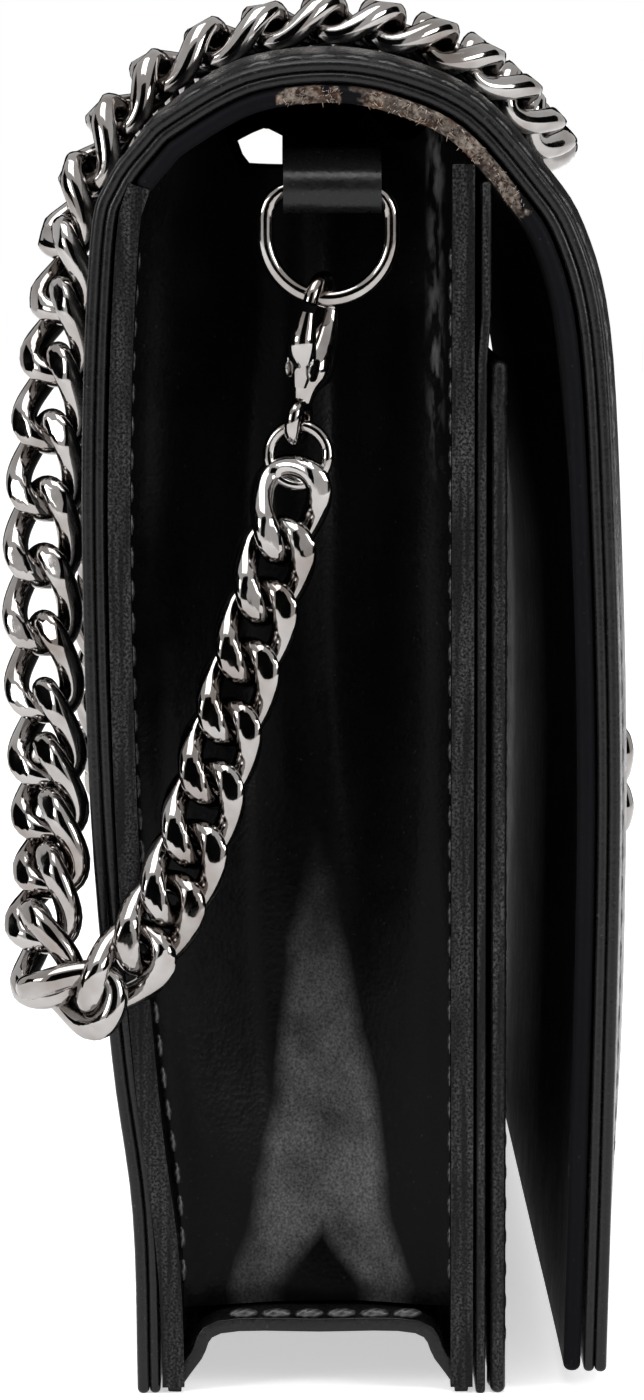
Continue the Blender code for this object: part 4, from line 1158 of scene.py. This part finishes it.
# %% Clasps
def cast_clasp(prefix, clasp):
    """Claw, hook, ears and base loop, joined as one casting."""
    points = [clasp.at(out, up) for out, up, _ in claw_shares]
    radii = [share * claw_radius for _, _, share in claw_shares]
    for i, p in enumerate(arc(Vector((0, 0)), 1.0, math.pi, math.radians(8), 10)):
        points.append(clasp.at(*p))
        radii.append(0.0010 * (1.2 - 0.45 * i / 10))
    pieces = [tapered(prefix + "_claw", points, radii)]
    loop = arc(Vector((0, -0.0118)) / hook_radius, 0.0019 / hook_radius, 0, 2 * math.pi, 28)
    pieces.append(wire(prefix + "_base_loop", [clasp.at(*p) for p in loop[:-1]], 0.0008, 14, True))
    for face in (-1, 1):
        middle = clasp.at(0.38, -2.1, face * 0.418)
        ear = wire(prefix + "_ear", [middle + clasp.out * d for d, _ in ear_shares], [r for _, r in ear_shares], 14)
        squeeze = Matrix.Scale(0.27, 4, clasp.thick)
        pieces.append(moved(ear, Matrix.Translation(middle) @ squeeze @ Matrix.Translation(-middle)))
    return joined(prefix + "_clasp_casting", pieces)


for prefix, clasp in clasps.items():
    casting = plated(cast_clasp(prefix, clasp), prefix + "_clasp", [prefix + "_clasp"])
    gate = tapered(prefix + "_clasp_gate", [clasp.at(out, up) for out, up, _ in lever_shares],
                   [share * lever_radius for _, _, share in lever_shares])
    plated(gate, prefix + "_lever", [prefix + "_lever"])
    through = [(reach * 0.50, share) for reach, share in rivet_shares]
    through += [(-reach, share) for reach, share in reversed(through)]
    rivet = wire(prefix + "_clasp_rivet", [clasp.at(0.86, -1.8, reach) for reach, _ in through],
                 [rivet_radius * share for _, share in through], 14)
    plated(rivet, prefix + "_clasp", [prefix + "_clasp_pin"])
    print(casting.name, len(casting.data.polygons), "faces")

# %% Jump rings
for prefix, _ in ends:
    low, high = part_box(prefix + "_jump_ring")
    middle = (low + high) / 2
    ring = added(prefix + "_split_ring", bpy.ops.mesh.primitive_torus_add, major_segments=40, minor_segments=14,
                 major_radius=0.0031, minor_radius=0.00066)
    moved(ring, turn_y)
    for corner in ring.data.vertices:
        angle = math.atan2(corner.co.z, corner.co.y)
        corner.co.x += 0.00012 * math.sin(angle / 2)
    moved(ring, Matrix.Translation(middle) @ Matrix.Rotation(math.radians(-10), 4, "Z"))
    plated(ring, prefix + "_clasp", [prefix + "_jump_ring"])
    print(ring.name, "at", [round(v * 1000, 1) for v in middle], "mm")

# %% [markdown]
# ## Curb chain
# A curb link is an oval of thick wire, wrung so that it lies flat in its neighbours, and ground on both
# faces. A torus gives the oval, and its points are moved onto the wrung line. The route runs from the near
# jump ring down the end, round the back corner, up the back, over the top and the same way down at the far
# end. Every link sits on it, rolled the way its stretch of the chain lies.

# %% One link
chain_wire, link_long, link_wide, chain_thickness = 0.0024, 0.00465, 0.00285, 0.0047
shown_wire, shown_wring, ground_face = 0.0027, -0.0017, chain_thickness / 2 + 0.0002


def link_model():
    """One wrung link from a torus, its two faces ground flat."""
    thing = added("link_model", bpy.ops.mesh.primitive_torus_add, major_segments=40, minor_segments=20,
                  major_radius=1.0, minor_radius=0.25)
    for corner in thing.data.vertices:
        t = math.atan2(corner.co.y, corner.co.x)
        round_it = math.atan2(corner.co.z, math.hypot(corner.co.x, corner.co.y) - 1.0)
        centre = Vector((link_long * math.cos(t), link_wide * math.sin(t), shown_wring * math.sin(2 * t)))
        along = Vector((-link_long * math.sin(t), link_wide * math.cos(t), 2 * shown_wring * math.cos(2 * t)))
        along.normalize()
        out = Vector((math.cos(t) / link_long, math.sin(t) / link_wide, 0))
        out = (out - along * out.dot(along)).normalized()
        point = centre + (out * math.cos(round_it) + along.cross(out) * math.sin(round_it)) * shown_wire / 2
        point.z = max(-ground_face, min(ground_face, point.z))
        corner.co = point
    return recalculated(thing)


print("link", [round(v * 1000, 1) for v in link_model().dimensions], "mm")
bpy.data.objects.remove(bpy.data.objects["link_model"])

# %% The chain's route
cad_skin = outline(cad_steps)
cad_out = outward(cad_skin)
cad_hinge = hinge_station * cad_steps
cad_back, cad_flap = cad_skin[:cad_hinge + 1], cad_skin[cad_hinge:]
fine, jump_reach = 12, 0.0031
# Each hanging station has its place across, in depth and up, as shares, then its turn and its roll in degrees.
hanging_shares = [(-0.991, 0.108, 0.580, 7, 0), (-1.008, 0.175, 0.490, 3, 0), (-1.030, 0.245, 0.398, 0, 4),
                  (-1.042, 0.320, 0.344, 0, 10), (-1.048, 0.389, 0.314, 0, 24), (-1.042, 0.458, 0.308, 0, 40),
                  (-1.020, 0.503, 0.333, 0, 46), (-0.998, 0.501, 0.372, 0, 46)]
# Each station up the back has its place across and up, then how far the chain stands on edge, and its roll.
back_shares = [(-0.975, 0.413, 90, 44), (-0.950, 0.460, 88, 40), (-0.920, 0.550, 78, 24), (-0.900, 0.625, 58, 14),
               (-0.880, 0.705, 36, 24), (-0.862, 0.780, 16, 44), (-0.840, 0.840, 5, 62), (-0.820, 0.885, 0, 80)]
top_shares = [(-0.800, 0.035), (-0.775, 0.115), (-0.745, 0.200), (-0.710, 0.290), (-0.670, 0.375), (-0.615, 0.450),
              (-0.545, 0.502), (-0.450, 0.526), (-0.335, 0.514), (-0.205, 0.466), (-0.050, 0.392), (0.100, 0.325),
              (0.250, 0.268), (0.400, 0.218), (0.535, 0.172), (0.650, 0.125), (0.735, 0.078), (0.790, 0.030)]


def rolled(side, normal, roll):
    """A face that looks out of the bag's end at no roll, and off the skin at a quarter turn."""
    roll = math.radians(roll)
    return Vector((side * math.cos(roll), normal.x * math.sin(roll), normal.y * math.sin(roll)))


def on_skin(x_share, path, normals, place, turn, side):
    """Where the chain's middle rests on the skin, and which way its face looks."""
    low = min(int(place), len(path) - 2)
    point = path[low].lerp(path[low + 1], place - low)
    normal = normals[low].lerp(normals[low + 1], place - low).normalized()
    edge_on = math.radians(turn)
    flat, standing = math.cos(edge_on) * chain_thickness / 2, math.sin(edge_on) * (link_wide + chain_wire / 2)
    lift = crown(x_share, point) + seat_gap * (1 + 2 * math.sin(2 * edge_on)) + math.hypot(flat, standing)
    centre = Vector((x_share * half_width, point.x + normal.x * lift, point.y + normal.y * lift))
    return centre, rolled(side, normal, 90 - turn)


def end_stations(prefix, side):
    """Stations of one end, from its jump ring to the flap's hinge."""
    low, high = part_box(prefix + "_jump_ring")
    ring = (low + high) / 2
    hanging = [(ring, 10, 14), (ring + Vector((side * 0.2, 0.4, -2.0)) * jump_reach, 10, 10)]
    for x, y, z, turn, roll in hanging_shares:
        hanging.append((Vector((-side * x * half_width, y * bag_depth + y_shift, z * bag_height)), turn, roll))
    stations = []
    for i, (place, turn, roll) in enumerate(hanging):
        ahead = hanging[min(i + 1, len(hanging) - 1)][0] - hanging[max(i - 1, 0)][0]
        sideways = Vector((-1, 0, 0)).cross(Vector((0, ahead.y, ahead.z)).normalized())
        face = Matrix.Rotation(math.radians(turn), 3, "Z") @ Vector((side, 0, 0))
        roll = math.radians(roll)
        stations.append((place, face * math.cos(roll) + sideways * math.sin(roll)))
    for x, share, turn, roll in back_shares:
        level = share * bag_height
        low = max(i for i, point in enumerate(cad_back[:-1]) if point.y <= level)
        place = low + (level - cad_back[low].y) / (cad_back[low + 1].y - cad_back[low].y)
        middle, _ = on_skin(-side * x, cad_back, cad_out[:cad_hinge + 1], place, turn, side)
        stations.append((middle, rolled(side, cad_out[low], roll)))
    return stations


near, far = end_stations("near", -1), end_stations("far", 1)
top = [on_skin(x, cad_flap, cad_out[cad_hinge:], share * (len(cad_flap) - 1), 0, 1) for x, share in top_shares]
stations = near + top + list(reversed(far))
route = smooth_path([place for place, _ in stations], fine)
route_faces = [face.normalized() for face in smooth_path([face for _, face in stations], fine)]
route_lengths = [0.0]
for a, b in zip(route, route[1:]):
    route_lengths.append(route_lengths[-1] + (b - a).length)
print("chain route", round(route_lengths[-1] * 1000), "mm")


# %% Placing the links
pitch, run_pitch, fused_pitch, open_pitch = 0.0065, 0.0067, 0.0071, 0.00575
hanging_links, bend_links = 7, 5


def on_route(along):
    """Middle and face direction at a length along the route."""
    along = min(max(along, 0.0), route_lengths[-1])
    i = next(i for i in range(1, len(route)) if route_lengths[i] >= along)
    share = (along - route_lengths[i - 1]) / (route_lengths[i] - route_lengths[i - 1])
    return route[i - 1].lerp(route[i], share), route_faces[i - 1].lerp(route_faces[i], share)


def link_place(along):
    """Placement of one link."""
    middle, face = on_route(along)
    ahead, behind = on_route(along + pitch / 2)[0], on_route(along - pitch / 2)[0]
    return framed(middle, ahead - behind, face)


def from_end(side, along):
    """A length from the near or the far end, as one from the near end."""
    return along if side < 0 else route_lengths[-1] - along


def links(name, places, body, node):
    """A run of links as one piece."""
    return plated(repeated(name, link_model(), [link_place(along) for along in places]), body, [node], 30)


def evenly(side, start, end):
    """Places of links between two lengths, at about the photographed pitch."""
    gaps = max(1, round((end - start) / pitch))
    return [from_end(side, start + (end - start) * i / gaps) for i in range(gaps + 1)]


def run(side, start, count):
    """Places of a number of links at the fused pitch."""
    return [from_end(side, start + i * fused_pitch) for i in range(count)]


reaches = []
start = jump_reach + link_long - (0.0012 + chain_wire) / 2 - seat_gap / 2
corner = start + (hanging_links - 1) * pitch + open_pitch
climb = corner + 5 * fused_pitch + pitch
for (prefix, side), before in zip(ends, (len(near) - 1, len(near) + len(top) - 1)):
    for i in range(hanging_links):
        name = "%s_chain_link_%d" % (prefix, i + 1)
        links(name + "_wrung", [from_end(side, start + i * pitch)], prefix + "_clasp", name)
    crossing = (route_lengths[before * fine] + route_lengths[(before + 1) * fine]) / 2
    count = round((from_end(side, crossing) + 0.0035 - 2 * fused_pitch - climb) / fused_pitch)
    over = climb + (count - 1) * fused_pitch + run_pitch
    for part, places, body in (("corner", evenly(side, corner, corner + 5.1 * fused_pitch), "bag"),
                               ("back", run(side, climb, count), "bag"), ("bend", run(side, over, bend_links), None)):
        piece = links("%s_%s_links" % (prefix, part), places, body, "%s_chain_%s" % (prefix, part))
        if not body:
            bends(piece)
    reaches.append(from_end(side, over + (bend_links - 1) * fused_pitch + run_pitch))
    print(prefix, count, "links up the back")
over = evenly(-1, *reaches)
links("top_links", over, "flap", "top_chain")
print(len(over), "links over the top")

# %% [markdown]
# ## Ornament
# A slim metal bar stands upright on the flap. It is plain turned work with two beads and a small boss.

# %% Ornament
low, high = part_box("flap_ornament")
swells = [(0.0, 0.1), (0.04, 0.4), (0.09, 0.5), (0.15, 0.3), (0.22, 0.0), (0.37, 0.0), (0.52, 0.0), (0.58, 0.65),
          (0.66, 1.0), (0.73, 0.7), (0.77, 0.35), (0.81, 0.65), (0.89, 0.9), (0.96, 0.65), (1.0, 0.2)]
flap_front = [point for point in reversed(flap_line) if point.x < y_shift]
points = []
for share, _ in swells:
    edge = at_level(flap_front, low.z + share * (high.z - low.z))
    points.append(Vector((0, edge.x - crown(0.0, edge) - seat_gap - 0.0027, low.z + share * (high.z - low.z))))
ornament = tapered("flap_ornament_bar", points, [0.0013 + swell * 0.0014 for _, swell in swells], 4, 24)
plated(ornament, "flap", ["flap_ornament"], 50)
print("ornament", round((high.z - low.z) * 1000, 1), "mm tall")

# %% [markdown]
# ## Worn edge
# Over the tab, the inner leather's edge has lost its skin and shows short tan fibres. Each fibre is a thin
# cone, and nearly three hundred of them stand along the worn stretches.

# %% Suede fibres
fibre = added("fibre_model", bpy.ops.mesh.primitive_cone_add, vertices=4, radius1=0.00007, radius2=0.00001,
              depth=0.0009)
moved(fibre, Matrix.Translation((0, 0, 0.0004)))
edge_line = inset_line(flap_line, flap_out, skin_thickness + seat_gap + flap_lining_thickness * 0.5)
places = []
for point, normal, after in zip(edge_line, flap_out, edge_line[1:]):
    y = point.x - y_shift
    if not (-0.0019 < y < 0.0036 or -0.0205 < y < -0.0045):
        continue
    for _ in range(16):
        spot = point.lerp(after, chance.random()) + normal * chance.uniform(-0.0008, 0.0008)
        lean = Vector((-1.0, chance.uniform(-0.8, 0.8), chance.uniform(-0.9, 0.5)))
        place = Vector((-half_width + chance.uniform(0.0, 0.0006), spot.x, spot.y))
        places.append(framed(place, lean.orthogonal(), lean) @ Matrix.Scale(chance.uniform(0.5, 1.1), 4))
hand_over(repeated("worn_edge_fibres", fibre, places), suede, "flap", angle=60)
print(len(places), "fibres")

# %% [markdown]
# ## Light, floor and background
# The bag was photographed on pure white. The floor and the world are white where the camera, a reflection or
# a glass sees them, and the lamps are large and soft, so black leather shows its folds and metal its shine.

# %% Floor and world
def looked_at(nodes, *kinds):
    """Is 1 for the rays of some kinds, such as the camera's."""
    rays = nodes.node("ShaderNodeLightPath").outputs
    return nodes.maths("MAXIMUM", *[rays["Is %s Ray" % kind] for kind in kinds])


floor = added("studio_floor", bpy.ops.mesh.primitive_plane_add, size=6)
pale = Finish("studio_floor", roughness=0.9)
pale.shader.inputs["Base Color"].default_value = (0.92, 0.92, 0.92, 1)
glow = pale.node("ShaderNodeEmission", [("Strength", pale.times(looked_at(pale, "Camera", "Glossy"), 0.55))])
total = pale.node("ShaderNodeAddShader", [(0, pale.shader.outputs[0]), (1, glow.outputs[0])])
pale.tree.links.new(total.outputs[0], pale.tree.nodes["Material Output"].inputs["Surface"])
floor.data.materials.append(pale.material)
world = bpy.data.worlds.new("studio")
bpy.context.scene.world = world
world.use_nodes = True
sky = Nodes(world.node_tree)
background = sky.tree.nodes["Background"].inputs
background["Color"].default_value = (1, 1, 1, 1)
strength = sky.ranged(looked_at(sky, "Camera", "Glossy", "Transmission"), 0.0, 1.0, 0.55, 1.0)
sky.tree.links.new(strength, background["Strength"])
bpy.context.scene.view_settings.view_transform = "Standard"
print("floor and world are set")


# %% Lamps
for name, place, target, size, power in (("lamp_above", (-0.35, 0.10, 1.10), (0, 0, 0.07), 0.7, 9),
                                         ("lamp_back_side", (-0.70, 0.75, 0.45), (0, 0, 0.08), 0.35, 5),
                                         ("lamp_front_side", (-0.60, -0.80, 0.40), (0, 0, 0.08), 0.35, 5)):
    bpy.ops.object.light_add(type="AREA", location=place)
    lamp = bpy.context.object
    lamp.name = name
    lamp.data.size, lamp.data.energy = size, power
    lamp.rotation_euler = (Vector(target) - Vector(place)).to_track_quat("-Z", "Y").to_euler()
print("three lamps")

# %% [markdown]
# ## Black cards
# Polished metal and glazed leather only look dark if something dark is reflected in them. A product
# photographer stands black cards round the object. These are seen by reflections alone.


# %% Cards
card_black = Finish("card_black", specular=0.0)
card_black.shader.inputs["Base Color"].default_value = (0.004, 0.004, 0.004, 1)
for name, place, size, turn in (("card_behind_camera", (-1.3, 0.0, 0.45), (1.6, 1.1), 0.0),
                                ("card_behind_bag", (1.3, 0.0, 0.50), (1.4, 1.9), 0.0),
                                ("card_back_side", (-0.25, 1.15, 0.40), (0.9, 1.1), quarter),
                                ("card_front_side", (-0.25, -1.15, 0.40), (0.9, 1.1), quarter)):
    card = added(name, bpy.ops.mesh.primitive_plane_add, size=1)
    moved(card, Matrix.Diagonal((*size, 1, 1)), Matrix.Rotation(turn, 4, "Z") @ turn_y, Matrix.Translation(place))
    card.data.materials.append(card_black.material)
    for ray in ("camera", "diffuse", "transmission", "shadow", "volume_scatter"):
        setattr(card, "visible_" + ray, False)
print("four cards")
